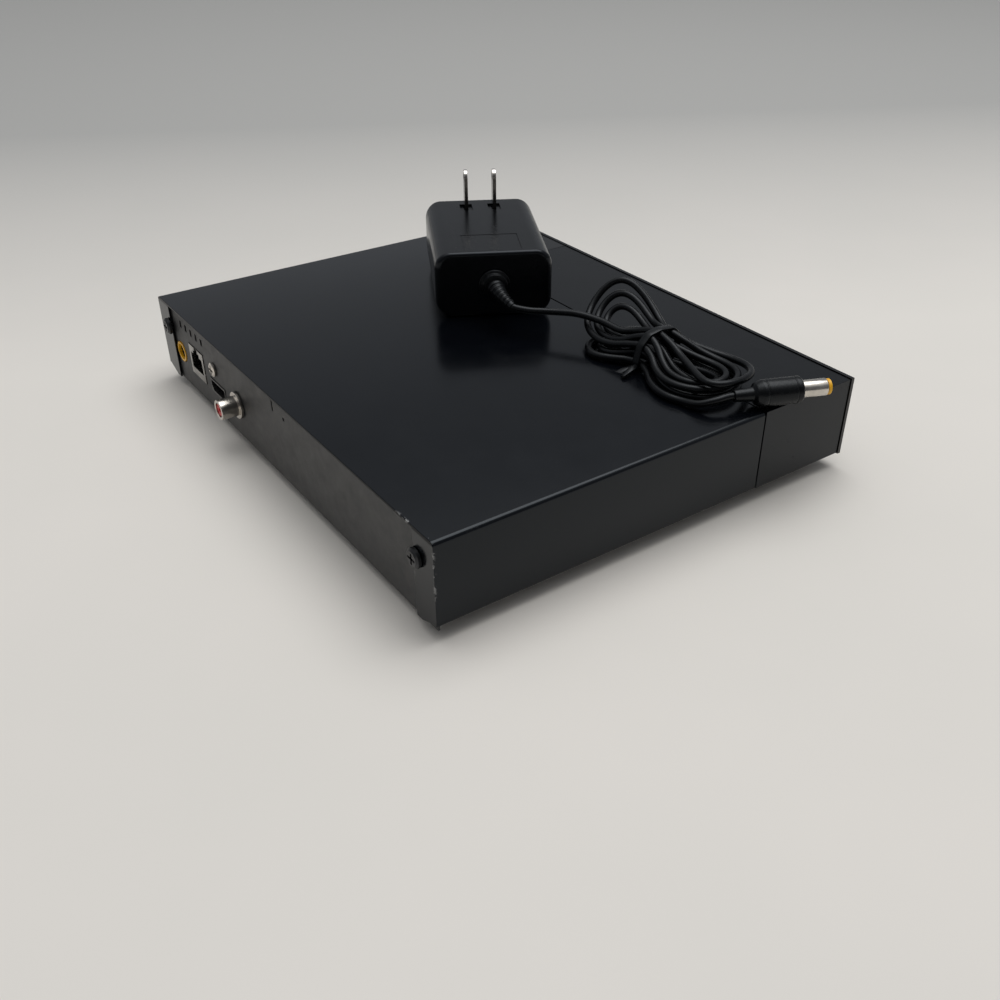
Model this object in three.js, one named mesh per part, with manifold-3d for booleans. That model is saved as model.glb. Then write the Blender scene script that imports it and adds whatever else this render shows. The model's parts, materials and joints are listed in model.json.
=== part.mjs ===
// A compact disc player that lies flat, with its power supply and the supply's hanked cord on top.
// Millimetres, +Z up. The front faces -Y, the rear panel +Y, and +X is the player's right from its front.
// The origin is on the surface that it stands on, under the middle from front plate to coax jack.
import * as THREE from 'three';
import { mergeVertices } from 'three/addons/utils/BufferGeometryUtils.js';
import Module from 'manifold-3d';

const wasm = await Module();
wasm.setup();

// Clearances and the overrun of every cutting solid
const clear = 0.3;
const play = 0.6;
const seamGap = 0.7;
const over = 3;

// Whole player; its width, depth and height follow what it holds, 230 x 187 x 39 in all
const unit = { lip: 0.4, rise: 4.2, headroom: 4.3 };
const boardBay = { width: 78.3 };
const jackBay = { depth: 29.5 };
const cover = { sheet: 0.8, bend: 1.6, sideRise: 2.8, screwHole: 1.9 };
const ear = { width: 12, bevelWide: 8.6, bevelHigh: 3.4 };
const panel = { sheet: 0.8 };
const chassis = { sheet: 1, flange: 7, bend: 1.4, ventWide: 2.4, ventLong: 26, ventPitch: 7, ventCount: 8 };
const bezel = { depth: 47.3, wall: 2, footRise: 2.3 };
const plate = { thick: 1.5 };
const block = { width: 52, wall: 2 };
const foot = { radius: 8, inset: 22, dishRadius: 5, dish: 0.8 };

// Rear panel fittings, placed from the right side, and from the cover's top or up from the board
const screwHead = { radius: 3.6, high: 1.7, shank: 1.4, shankLong: 5 };
const coverScrew = { inset: 10, fromTop: 10.6 };
const driverSlot = { long: 4.2, wide: 0.9, deep: 0.8 };
const screwHeadShare = { rim: 0.6, dome: 0.75 };
const coax = {
  fromSide: 78.9, rise: 5.8, reach: 7.4, radius: 4.15, bore: 2.9, flange: 5.6, rim: 1.1, inside: 12,
  housing: 12,
};
const coaxInsert = { radius: 2.6, bore: 0.9, recess: 0.5, deep: 8 };
const dcJack = { fromSide: 17.6, rise: 5.4, wide: 9.6, high: 10, deep: 11, bore: 3.3, pin: 0.7, pinLong: 7 };
const dcRing = { radius: 4.5, bore: 3.5, proud: 0.4 };
const lan = { fromSide: 36.2, wide: 15.4, high: 13.3, deep: 20, portWide: 11.8, portHigh: 6.9, portDeep: 14 };
const lanLatch = { wide: 6.4, high: 1.6, keyWide: 3.2, keyHigh: 1.5 };
const hdmi = {
  fromSide: 57.6, wide: 15, high: 6, deep: 11, portWide: 13.8, portHigh: 4.5, portDeep: 9, bevel: 1.9,
};
const hdmiTongue = { wide: 11.2, high: 1.4, deep: 7 };
const hdmiScrew = { fromSide: 55.6, rise: 11.9 };
const hdmiScrewHead = { radius: 3, high: 1.1, shank: 1.2, shankLong: 3 };
const vent = { fromSide: 21.6, fromTop: 6, pitch: 5.8, count: 5, wide: 2, high: 3.1 };
const keySlot = { fromSide: 114.4, fromTop: 4.9, long: 4.4, wide: 1.1 };
const pinHole = { fromSide: 123.8, fromTop: 6.4, radius: 0.8 };

// Circuit board behind the jacks
const board = {
  thick: 1.6, rise: 7.8, rearGap: 1.2, stripDeep: 18, pastCoax: 15.7, frontGap: 8.6, sideGap: 4,
};
const stand = { radius: 3, inset: 6 };
const chip = { size: 27, high: 2, fromRear: 62 };
const sink = { size: 38, base: 2, high: 9, fin: 1.6, fins: 6 };

// Disc loader
const loader = { sideGap: 2.3, wall: 2.5, floor: 2, behind: 5.7, frontGap: 2 };
const ledge = { reach: 4, thick: 2.3 };
const disc = { radius: 60, rimRoom: 1.5, lift: 1.9 };
const tray = {
  edge: 2, frontRim: 5.7, thick: 2.1, rim: 3.4, flange: 4.4, railThick: 2, tail: 27, windowHalf: 28,
  windowFront: 20,
};
const trayStepShare = { radius: 0.68, deep: 0.4 };
const trayDoor = { overlap: 1.6, high: 11, thick: 3, below: 2.9, edge: 1.2 };
const rack = { inset: 5.5, wide: 3, high: 2.3, pitch: 3.6, toothDeep: 0.8, frontInset: 4, rearInset: 8 };
const rackToothShare = { crest: 0.4, flank: 0.5, root: 0.9 };
const well = { sideGap: 3, frontGap: 0.6, rearInset: 3 };

// Traverse, which carries the spindle and the pickup, and the slider that lowers it
const traverse = { halfWide: 33, thick: 2, front: 17, rearInset: 8, pivotInset: 6, tilt: 3.5 };
const sledWell = { edge: 5, front: 16.5, rearBar: 9 };
const pivot = { radius: 1.9, reach: 5, inset: 1.5, cradleWide: 4.5, cradleLong: 8, cradleRise: 3 };
const camPin = { radius: 1.4, reach: 5.4 };
const cam = { thick: 3.4, halfLong: 30, stroke: 24, underTray: 0.5 };
const spindle = { radius: 12.5, high: 3.7, bore: 2 };
const turntable = {
  radius: 15, thick: 2.2, hubRadius: 7.3, hubTop: 5.1, hubHigh: 2, hubEdge: 0.8, shaft: 1.2,
};
const screwDrive = { inset: 3, drop: 1.8, radius: 1.4, thread: 0.35, pitch: 7, armHigh: 4 };
const threadShare = { rise: 0.25, crest: 0.45, fall: 0.7 };
const pickup = { screwGap: 3.5, ahead: 6.5, behind: 17.5, below: 3, above: 4.5, fromSpindle: 24 };
const rod = { radius: 1.5, inset: 3.5 };
const rodBoss = { wide: 5.4, long: 4, wall: 1.3 };
const lens = {
  radius: 2.6, well: 3.6, high: 2.2, proud: 0.9, optic: 1.6, crown: 1, crownHigh: 0.28, dish: 0.4,
};
const sledMotor = { radius: 4, long: 13 };
const screwBoss = { half: 3, long: 4 };

// Clamp over the disc
const bridge = { thick: 1.5, halfLong: 13, hub: 19, hole: 11.6, rib: 1.2, ribWide: 2 };
const clamper = { radius: 15.5, thick: 1.8, neck: 10.6, capRadius: 13, capThick: 1.2, overTray: 1, room: 1.4 };

// Loading drive under the front of the tray
const loadMotor = { reach: 46, radius: 10.5, high: 6.2, gap: 0.8, fromCam: 17.7 };
const motorPulley = { radius: 3.2, lip: 0.8, lipHigh: 0.7 };
const beltPulley = { radius: 9.6, high: 2.6, lip: 0.9, hubRadius: 4.6, teeth: 12 };
const belt = { thick: 1.1, high: 1.2 };
const trayGear = { radius: 10, high: 2.5, teeth: 24, toothDeep: 0.7 };
const axle = { radius: 1.3, shoulder: 3 };

// Control block at the front right
const key = {
  wide: 14, high: 5, corner: 1, fromTop: 9.6, deep: 4.6, recess: 0.2, flange: 1, flangeThick: 1, travel: 0.5,
  pitch: 23,
};
const switchBody = { size: 6, deep: 3.4, plunger: 1.6 };
const usb = { rise: 10.4, wide: 13.4, high: 5.8, deep: 14, wall: 0.6 };
const usbTongue = { wide: 10.6, high: 1.8 };
const frontBoard = { fromFront: 9.6, thick: 1.4, topGap: 4.1, sideGap: 4 };
const lamp = { fromUsb: 17, radius: 1.4, flange: 2, flangeThick: 0.8, backReach: 6 };

// Power supply, lying on the cover with its blades up
const supply = {
  x: 42.6, y: -35.2, turn: 61.8, wide: 49, long: 70, high: 27.6, wall: 2, corner: 7, endCorner: 3.2,
  innerCorner: 2.8, lid: 3.4, lidWall: 3.2,
};
const supplySeam = { wide: 24, long: 20, line: 0.5, deep: 0.4, fromFace: 1.6 };
const bladeSize = {
  wide: 6.35, thick: 1.5, long: 16.8, spread: 12.7, fromFar: 11, hole: 1.6, tipInset: 3.2, root: 4,
};
const bladeWell = { wide: 8.4, thick: 5.6, deep: 0.9 };
const circuit = {
  inset: 5, sideInset: 2.5, high: 17, board: 1.6, coilRadius: 9, coilHigh: 13, coreHalfWide: 5.4,
  coreHalfLong: 10.8,
};
const collar = { radius: 6.8, step: 5.4, thick: 1.5, neck: 4.4 };
const relief = {
  length: 17, straight: 9.4, startRadius: 3.7, endRadius: 2.3, ribs: 7, ribHigh: 0.5, drop: 3.1, aside: 5.6,
};

// Cord, its hank and its plug
const cord = { radius: 1.4, step: 6.5 };
const cordSides = 8;
const hank = {
  x: -61.7, y: -44.3, turns: 3, pitch: 4.4, layer: 3.5, middle: 2, entryLong: 16, entryAside: 5,
  high: { reach: 30.3, reachStep: 4.05, bulge: 7.9, bulgeStep: -0.05, fan: -2.05, lift: 14.15, liftStep: 9.6 },
  low: { reach: 21.75, reachStep: 3.45, bulge: 10.45, bulgeStep: 3.15, fan: -0.85, lift: 0, liftStep: 0 },
  right: { reach: 29.5, reachStep: 4.05, bulge: 11, bulgeStep: 2.3, fan: -1.55, lift: 0, liftStep: 0 },
  waist: { half: 11, lift: 1.1, stagger: 2.9, upper: 2.8, top: 2.9 },
};
const hankTurnShare = { end: 0.14, climb: 0.5, entering: 0.294, settleFrom: 0.2, settleLong: 0.26 };
const hankShare = { waist: 0.34, squeeze: 0.32, stagger: 0.5 };
const liftPower = 2.05;
const entrySteps = 4;
const hankSteps = 24;
const hankSides = 6;
const tie = {
  wide: 3.2, thick: 0.7, room: 0.5, asideRoom: 1.3, corner: 1.8, tailLong: 9, tailDrop: 2.4, tailGap: 1,
};
const plug = {
  x: -108.4, y: -47.9, turn: -113, radius: 5, bodyLong: 18.5, shoulder: 2, neckRadius: 2.6, neckEnd: 2.2,
  neckLong: 7,
};
const barrel = { radius: 3.25, bore: 1.7, long: 9.8, deep: 8, root: 4 };
const tip = { radius: 2.95, bore: 1.7, long: 1.6 };

// Numbers of sides of a round, and of steps along a rounded corner or an arc
const sides = {
  screw: 6, relief: 10, tiny: 12, small: 16, mid: 20, round: 24, large: 28, broad: 32, pocket: 44,
};
const arcSteps = { slot: 2, key: 3, corner: 4, edge: 5, blade: 8, pulley: 10, belt: 22 };

// Heights, from the chassis floor up through the drive, the tray and the clamp to the roof
const floorTop = unit.rise + chassis.sheet;
const boardTop = floorTop + board.rise;
const deckLow = floorTop + clear;
const deckTop = deckLow + loader.floor;
const motorTop = deckTop + clear + loadMotor.high;
const pulleyLow = motorTop + loadMotor.gap;
const gearLow = pulleyLow + beltPulley.high + clear;
const gearTop = gearLow + trayGear.high;
const trayLow = gearTop + clear;
const trayTop = trayLow + tray.thick + tray.rim;
const discPlay = trayLow + tray.thick + disc.lift;
const traverseMid = discPlay - turntable.thick - 2 * clear - spindle.high - traverse.thick / 2;
const clamperLow = trayTop + clamper.overTray;
const loaderTop = clamperLow + clamper.thick + clamper.room;
const bridgeLow = loaderTop + clear;
const capLow = bridgeLow + bridge.thick + clear;
const roof = capLow + clamper.capThick + unit.headroom + cover.sheet;
const height = roof + unit.lip;
const rest = roof + clear;
const bezelFoot = unit.rise + bezel.footRise;

// Widths, from the disc outwards: the loader on the left, the board's bay on the right
const trayHalf = disc.radius + disc.rimRoom + tray.edge;
const railHalf = trayHalf + tray.flange;
const doorHalf = railHalf + trayDoor.overlap;
const loaderHalf = railHalf + play + loader.wall;
const innerHalf = (loader.sideGap + 2 * loaderHalf + boardBay.width) / 2;
const chassisHalf = innerHalf + chassis.sheet;
const side = chassisHalf + clear + bezel.wall;
const half = side + unit.lip;
const loaderMid = loader.sideGap + loaderHalf - innerHalf;
const split = half - block.width;
const blockMid = (split + half) / 2;
const rackOffset = trayHalf - rack.inset;
const sledHalf = traverse.halfWide - sledWell.edge;
const screwOffset = sledHalf - screwDrive.inset;
const pickupHalf = screwOffset - pickup.screwGap;
const rodOffset = pickupHalf - rod.inset;

// Depths, from the front plate to the rear panel
const discFromFront = trayDoor.thick + clear + tray.frontRim + disc.rimRoom + disc.radius;
const depth = discFromFront + disc.radius + tray.tail + jackBay.depth;
const front = -(depth + coax.reach) / 2;
const rear = front + depth;
const seam = front + bezel.depth;
const panelOut = rear - cover.sheet - clear;
const panelIn = panelOut - panel.sheet;
const bezelFront = front + plate.thick + clear;
const discY = front + discFromFront;
const trayFront = front + trayDoor.thick + clear;
const trayRear = discY + disc.radius + tray.tail;
const loaderRear = trayRear + loader.behind;

// Places of the rear fittings, as x and z
const coverScrewAt = [side - coverScrew.inset, roof - coverScrew.fromTop];
const coaxAt = [side - coax.fromSide, boardTop + coax.rise];
const dcAt = [side - dcJack.fromSide, boardTop + dcJack.rise];
const hdmiScrewAt = [side - hdmiScrew.fromSide, boardTop + hdmiScrew.rise];
const pinHoleAt = [side - pinHole.fromSide, roof - pinHole.fromTop];
const lanX = side - lan.fromSide;
const hdmiX = side - hdmi.fromSide;

// Solids: a closed geometry becomes a solid that can be joined and cut
function facingOut(position, index) {
  const [a, b, c] = [new THREE.Vector3(), new THREE.Vector3(), new THREE.Vector3()];
  let volume = 0;
  for (let i = 0; i < index.length; i += 3) {
    a.fromArray(position, 3 * index[i]);
    b.fromArray(position, 3 * index[i + 1]);
    c.fromArray(position, 3 * index[i + 2]);
    volume += a.dot(b.cross(c));
  }
  return volume > 0;
}

function solid(geometry) {
  const bare = geometry.clone();
  bare.deleteAttribute('normal');
  bare.deleteAttribute('uv');
  const welded = mergeVertices(bare);
  const position = welded.attributes.position.array;
  const faces = [];
  for (let i = 0; i < welded.index.count; i += 3) {
    const [a, b, c] = [0, 1, 2].map((k) => welded.index.array[i + k]);
    if (a !== b && b !== c && c !== a) faces.push(a, b, c);
  }
  if (!facingOut(position, faces)) faces.reverse();
  const triVerts = new Uint32Array(faces);
  return new wasm.Manifold(new wasm.Mesh({ numProp: 3, vertProperties: new Float32Array(position), triVerts }));
}

function geometryOf(body) {
  const { vertProperties, triVerts, numProp } = body.getMesh();
  const geometry = new THREE.BufferGeometry();
  const points = [];
  for (let i = 0; i < vertProperties.length; i += numProp) points.push(...vertProperties.slice(i, i + 3));
  geometry.setAttribute('position', new THREE.Float32BufferAttribute(points, 3));
  geometry.setIndex([...triVerts]);
  geometry.computeVertexNormals();
  return geometry;
}

const join = (first, ...others) => others.reduce((sum, other) => sum.add(other), first);
const cut = (first, ...others) => others.reduce((sum, other) => sum.subtract(other), first);

// Basic solids, each given by the spans or the axis that it fills
function brick([x0, x1], [y0, y1], [z0, z1]) {
  const geometry = new THREE.BoxGeometry(x1 - x0, y1 - y0, z1 - z0);
  return solid(geometry.translate((x0 + x1) / 2, (y0 + y1) / 2, (z0 + z1) / 2));
}

const around = (middle, half) => [middle - half, middle + half];

// An outline drawn in the plane across the axis: (x, y) for z, (x, z) for y and (y, z) for x
function prism(outline, [from, to], axis = 'z', holes = []) {
  const shape = new THREE.Shape(outline);
  shape.holes = holes.map((hole) => new THREE.Path(hole));
  const geometry = new THREE.ExtrudeGeometry(shape, { depth: to - from, bevelEnabled: false, steps: 1 });
  if (axis === 'z') geometry.translate(0, 0, from);
  if (axis === 'y') geometry.rotateX(Math.PI / 2).translate(0, to, 0);
  if (axis === 'x') geometry.rotateX(Math.PI / 2).rotateZ(Math.PI / 2).translate(from, 0, 0);
  return solid(geometry);
}

const spot = (x, y) => new THREE.Vector2(x, y);

function arc(x, y, radius, start, end, steps = arcSteps.edge) {
  const turn = (i) => start + ((end - start) * i) / steps;
  return Array.from({ length: steps + 1 }, (_, i) => {
    return spot(x + radius * Math.cos(turn(i)), y + radius * Math.sin(turn(i)));
  });
}

const circle = (x, y, radius, steps = sides.large) => arc(x, y, radius, 0, 2 * Math.PI, steps).slice(1);

function roundedBox(x, y, wide, high, radius, steps = arcSteps.corner) {
  const [w, h, quarter] = [wide / 2 - radius, high / 2 - radius, Math.PI / 2];
  return [
    ...arc(x + w, y + h, radius, 0, quarter, steps),
    ...arc(x - w, y + h, radius, quarter, 2 * quarter, steps),
    ...arc(x - w, y - h, radius, 2 * quarter, 3 * quarter, steps),
    ...arc(x + w, y - h, radius, 3 * quarter, 4 * quarter, steps),
  ];
}

function disk(x, y, radius, span, axis = 'z', steps = sides.round) {
  return prism(circle(x, y, radius, steps), span, axis);
}

// A turned solid: profile points are (radius, place along the axis), from axis to axis
function turned(profile, axis = 'z', [x, y, z] = [0, 0, 0], steps = sides.round) {
  const geometry = new THREE.LatheGeometry(profile.map(([r, h]) => spot(r, h)), steps);
  if (axis === 'z') geometry.rotateX(Math.PI / 2);
  if (axis === 'x') geometry.rotateZ(-Math.PI / 2);
  return solid(geometry.translate(x, y, z));
}

// Section of a bent sheet: two legs from the foot up to a flat back, or hanging when the foot is higher
function channel(half, foot, back, sheet, bend) {
  const up = Math.sign(back - foot);
  const inner = bend - sheet;
  const corner = half - bend;
  const quarter = Math.PI / 2;
  const level = (points) => points.map((p) => spot(p.x, back - up * (bend - p.y)));
  return [
    spot(-half, foot),
    ...level(arc(-corner, 0, bend, 2 * quarter, quarter)),
    ...level(arc(corner, 0, bend, quarter, 0)),
    spot(half, foot),
    spot(half - sheet, foot),
    ...level(arc(corner, 0, inner, 0, quarter)),
    ...level(arc(-corner, 0, inner, quarter, 2 * quarter)),
    spot(sheet - half, foot),
  ];
}

const gearToothShares = [0, 0.3, 0.5, 0.8];

function toothed(x, y, radius, teeth, deep) {
  const points = [];
  for (let i = 0; i < teeth; i += 1) {
    gearToothShares.forEach((part, k) => {
      const turn = (2 * Math.PI * (i + part)) / teeth;
      const reach = k < 2 ? radius : radius - deep;
      points.push(spot(x + reach * Math.cos(turn), y + reach * Math.sin(turn)));
    });
  }
  return points;
}

// Named meshes, each with a finish of its own
const finish = {
  blackPaint: [0x26272b, 0.42, 0.1],
  rearPaint: [0x3b3c40, 0.55, 0.1],
  blackPlastic: [0x17181b, 0.45, 0],
  glossPlastic: [0x0c0d10, 0.15, 0],
  steel: [0xb4b6ba, 0.35, 1],
  nickel: [0xc9c4b8, 0.25, 1],
  darkSteel: [0x1d1e21, 0.4, 0.6],
  boardGreen: [0x1e4a33, 0.5, 0],
  chipBlack: [0x1a1b1d, 0.6, 0],
  aluminium: [0xa9acb0, 0.4, 1],
  yellow: [0xd9a520, 0.45, 0],
  red: [0xb3262b, 0.4, 0],
  whitePlastic: [0xd8d8d4, 0.5, 0],
  rubber: [0x111214, 0.8, 0],
  glass: [0x5a6f9c, 0.08, 0],
  cordBlack: [0x16171a, 0.5, 0],
};
const player = new THREE.Group();
const powerSupply = new THREE.Group();
player.add(powerSupply);
powerSupply.position.set(supply.x, supply.y, rest);
powerSupply.rotation.z = THREE.MathUtils.degToRad(supply.turn);

function piece(name, body, look, parent = player) {
  const [color, roughness, metalness] = finish[look];
  const geometry = body.isBufferGeometry ? body : geometryOf(body);
  const mesh = new THREE.Mesh(geometry, new THREE.MeshStandardMaterial({ color, roughness, metalness }));
  mesh.name = name;
  parent.add(mesh);
  return mesh;
}

// Top cover: a bent sheet over the top and sides, with an ear folded down each rear corner
function topCover() {
  const section = channel(side, unit.rise + cover.sideRise, roof, cover.sheet, cover.bend);
  const shell = prism(section, [seam + seamGap / 2, rear], 'y');
  const earAt = (way) => {
    const outline = [
      spot(way * (side - ear.width), roof - cover.sheet / 2),
      spot(way * (side - cover.sheet / 2), roof - cover.sheet / 2),
      spot(way * side, roof - cover.bend),
      spot(way * side, unit.rise + ear.bevelHigh),
      spot(way * (side - ear.bevelWide), unit.rise),
      spot(way * (side - ear.width), unit.rise),
    ];
    return prism(outline, [rear - cover.sheet, rear], 'y');
  };
  const holes = [1, -1].map((way) => {
    const [x, z] = coverScrewAt;
    return disk(way * x, z, cover.screwHole, widen([rear, rear], over), 'y', sides.mid);
  });
  piece('top_cover', cut(join(shell, earAt(1), earAt(-1)), ...holes), 'blackPaint');
}

// Rear panel with an opening for each jack
function rearPanel() {
  const panelHalf = side - cover.sheet - clear;
  const back = [panelIn - over, panelOut + over];
  const slot = (x, wide, z, high) => brick(around(x, wide / 2), back, around(z, high / 2));
  const holes = [
    ...[1, -1].map((way) => {
      return disk(way * coverScrewAt[0], coverScrewAt[1], cover.screwHole, back, 'y', sides.mid);
    }),
    disk(...dcAt, dcRing.radius + clear, back, 'y'),
    disk(...coaxAt, coax.radius + clear, back, 'y'),
    disk(...pinHoleAt, pinHole.radius, back, 'y', sides.tiny),
    disk(...hdmiScrewAt, hdmiScrewHead.shank + clear, back, 'y', sides.small),
    brick(around(lanX, lan.wide / 2 + clear), back, [boardTop, boardTop + lan.high + 2 * clear]),
    brick(around(hdmiX, hdmi.wide / 2 + clear), back, [boardTop, boardTop + hdmi.high + 2 * clear]),
    slot(side - keySlot.fromSide, keySlot.wide, roof - keySlot.fromTop, keySlot.long),
  ];
  for (let i = 0; i < vent.count; i += 1) {
    holes.push(slot(side - vent.fromSide - i * vent.pitch, vent.wide, roof - vent.fromTop, vent.high));
  }
  const sheet = brick(around(0, panelHalf), [panelIn, panelOut], [unit.rise, roof - cover.sheet - clear]);
  piece('rear_panel', cut(sheet, ...holes), 'rearPaint');
}

// Bottom tray of bent steel, with vents and the stands that carry the board
const boardRear = panelIn - board.rearGap;
const boardFront = seam + board.frontGap;
const boardLeft = loaderMid + loaderHalf + board.sideGap;
const boardRight = innerHalf - board.sideGap;
const stripStart = coaxAt[0] - board.pastCoax;

function bottomChassis() {
  const long = [bezelFront + bezel.wall + clear, panelIn - clear];
  const section = channel(chassisHalf, unit.rise + chassis.flange, unit.rise, chassis.sheet, chassis.bend);
  const standSpan = [unit.rise, boardTop - board.thick - clear];
  const stands = boardStands().map(([x, y]) => disk(x, y, stand.radius, standSpan, 'z', sides.small));
  const slots = [];
  for (let i = 0; i < chassis.ventCount; i += 1) {
    const x = boardLeft + chassis.ventPitch * (i + 1);
    const y = boardRear - board.stripDeep - chassis.ventLong;
    const outline = roundedBox(x, y, chassis.ventWide, chassis.ventLong, chassis.ventWide / 2, arcSteps.slot);
    slots.push(prism(outline, [unit.rise - over, floorTop + over]));
  }
  piece('bottom_chassis', cut(join(prism(section, long, 'y'), ...stands), ...slots), 'steel');
}

function boardStands() {
  const [low, high] = [boardFront + stand.inset, boardRear - stand.inset];
  const [left, right] = [boardLeft + stand.inset, boardRight - stand.inset];
  return [[left, low], [right, low], [stripStart + stand.inset, high], [right, high]];
}

// Rubber feet with a dished sole
function feet() {
  const places = { front_left: [-1, -1], front_right: [1, -1], rear_left: [-1, 1], rear_right: [1, 1] };
  const top = unit.rise - clear;
  const middle = (front + rear) / 2;
  for (const [name, [across, along]] of Object.entries(places)) {
    const x = across * (side - foot.inset);
    const y = middle + along * (depth / 2 - foot.inset);
    const profile = [[0, foot.dish], [foot.dishRadius, foot.dish], [foot.dishRadius + foot.dish, 0],
      [foot.radius - foot.dish, 0], [foot.radius, foot.dish], [foot.radius, top], [0, top]];
    piece(`foot_${name}`, turned(profile, 'z', [x, y, 0], sides.small), 'rubber');
  }
}

// Screws on the rear: a domed head with a cross, and a plain shank
function rearScrew(name, size, [x, z], look, seat) {
  const top = clear + size.high;
  const profile = [[0, -size.shankLong], [size.shank, -size.shankLong], [size.shank, clear],
    [size.radius, clear], [size.radius, clear + size.high * screwHeadShare.rim],
    [size.radius * screwHeadShare.dome, top], [0, top]];
  const deep = [seat + top - driverSlot.deep, seat + top + over];
  const head = turned(profile, 'y', [x, seat, z], sides.small);
  const arms = [[driverSlot.long, driverSlot.wide], [driverSlot.wide, driverSlot.long]];
  piece(name, cut(head, ...arms.map(([w, h]) => brick(around(x, w / 2), deep, around(z, h / 2)))), look);
}

// Jacks on the board, facing out of the rear panel
function rearJacks() {
  const low = boardTop + clear;
  lanJack(low);
  hdmiJack(low);
  coaxJack(low);
  dcInlet(low);
}

function lanJack(low) {
  const out = panelOut + clear;
  const span = [out - lan.deep, out];
  const portMiddle = low + lan.high / 2;
  const port = [out - lan.portDeep, out + over];
  const base = portMiddle - lan.portHigh / 2;
  const roofOf = portMiddle + lan.portHigh / 2;
  const steps = [
    brick(around(lanX, lan.portWide / 2), port, [base, roofOf]),
    brick(around(lanX, lanLatch.wide / 2), port, [portMiddle, roofOf + lanLatch.high]),
    brick(around(lanX, lanLatch.keyWide / 2), port, [portMiddle, roofOf + lanLatch.high + lanLatch.keyHigh]),
  ];
  piece('lan_jack', cut(brick(around(lanX, lan.wide / 2), span, [low, low + lan.high]), ...steps), 'nickel');
}

function hdmiJack(low) {
  const out = panelOut + clear;
  const middle = low + hdmi.high / 2;
  const [w, h] = [hdmi.portWide / 2, hdmi.portHigh / 2];
  const port = [spot(hdmiX - w, middle + h), spot(hdmiX + w, middle + h),
    spot(hdmiX + w, middle - h + hdmi.bevel), spot(hdmiX + w - hdmi.bevel, middle - h),
    spot(hdmiX - w + hdmi.bevel, middle - h), spot(hdmiX - w, middle - h + hdmi.bevel)];
  const shell = brick(around(hdmiX, hdmi.wide / 2), [out - hdmi.deep, out], [low, low + hdmi.high]);
  const hollow = prism(port, [out - hdmi.portDeep, out + over], 'y');
  const tongueSpan = [out - hdmi.deep + clear, out - hdmi.portDeep + hdmiTongue.deep];
  const tongue = brick(around(hdmiX, hdmiTongue.wide / 2), tongueSpan, [middle, middle + hdmiTongue.high]);
  piece('hdmi_jack', join(cut(shell, hollow), tongue), 'nickel');
}

function coaxJack(low) {
  const seat = panelOut + clear - rear;
  const inner = coax.reach - coaxInsert.deep - coaxInsert.recess;
  const profile = [[0, -coax.inside], [coax.radius, -coax.inside], [coax.radius, seat], [coax.flange, seat],
    [coax.flange, seat + coax.rim], [coax.radius, seat + coax.rim], [coax.radius, coax.reach],
    [coax.bore, coax.reach], [coax.bore, inner], [0, inner]];
  const [x, z] = coaxAt;
  const housing = [low, z + coax.housing / 2];
  const body = brick(around(x, coax.housing / 2), [rear - coax.inside, panelIn - clear], housing);
  piece('coax_jack', join(turned(profile, 'y', [x, rear, z]), body), 'nickel');
  const face = rear + coax.reach - coaxInsert.recess;
  const insert = disk(x, z, coaxInsert.radius, [face - coaxInsert.deep + clear, face], 'y');
  const holeSpan = [face + coaxInsert.recess - coaxInsert.deep, face + over];
  const hole = disk(x, z, coaxInsert.bore, holeSpan, 'y', sides.small);
  piece('coax_insert', cut(insert, hole), 'red');
}

function dcInlet(low) {
  const out = panelIn - clear;
  const back = out - dcJack.deep;
  const shell = brick(around(dcAt[0], dcJack.wide / 2), [back, out], [low, low + dcJack.high]);
  const bore = disk(...dcAt, dcJack.bore, [back + clear + dcJack.pin, out + over], 'y');
  const pin = disk(...dcAt, dcJack.pin, [back + clear, back + dcJack.pinLong], 'y', sides.tiny);
  piece('dc_jack', join(cut(shell, bore), pin), 'blackPlastic');
  const ringOut = panelOut + dcRing.proud;
  const ring = disk(...dcAt, dcRing.radius, [panelIn, ringOut], 'y');
  const hole = disk(...dcAt, dcRing.bore, [ringOut - over, ringOut + over], 'y');
  piece('dc_jack_ring', cut(ring, hole), 'yellow');
}

// Main board with its processor and heat sink
function mainBoard() {
  const [left, right] = [boardLeft, boardRight];
  const strip = boardRear - board.stripDeep;
  const outline = [spot(left, boardFront), spot(right, boardFront), spot(right, boardRear),
    spot(stripStart, boardRear), spot(stripStart, strip), spot(left, strip)];
  piece('main_board', prism(outline, [boardTop - board.thick, boardTop]), 'boardGreen');
  const [x, y] = [(left + right) / 2, boardRear - chip.fromRear];
  const chipLow = boardTop + clear;
  const chipTop = chipLow + chip.high;
  const [wide, long] = [x, y].map((middle) => around(middle, chip.size / 2));
  piece('processor_chip', brick(wide, long, [chipLow, chipTop]), 'chipBlack');
  const sinkLow = chipTop + clear;
  const base = brick(around(x, sink.size / 2), around(y, sink.size / 2), [sinkLow, sinkLow + sink.base]);
  const fins = Array.from({ length: sink.fins }, (_, i) => {
    const place = x - sink.size / 2 + sink.fin / 2 + (i * (sink.size - sink.fin)) / (sink.fins - 1);
    return brick(around(place, sink.fin / 2), around(y, sink.size / 2), [sinkLow, sinkLow + sink.high]);
  });
  piece('heat_sink', join(base, ...fins), 'aluminium');
}

// Front of moulded plastic: the bezel, the plate over it, and the control block beside them
const doorLow = trayLow - trayDoor.below;
const doorSpan = [doorLow, doorLow + trayDoor.high];
const doorAcross = around(loaderMid, doorHalf);
const widen = ([a, b], by) => [a - by, b + by];

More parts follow.
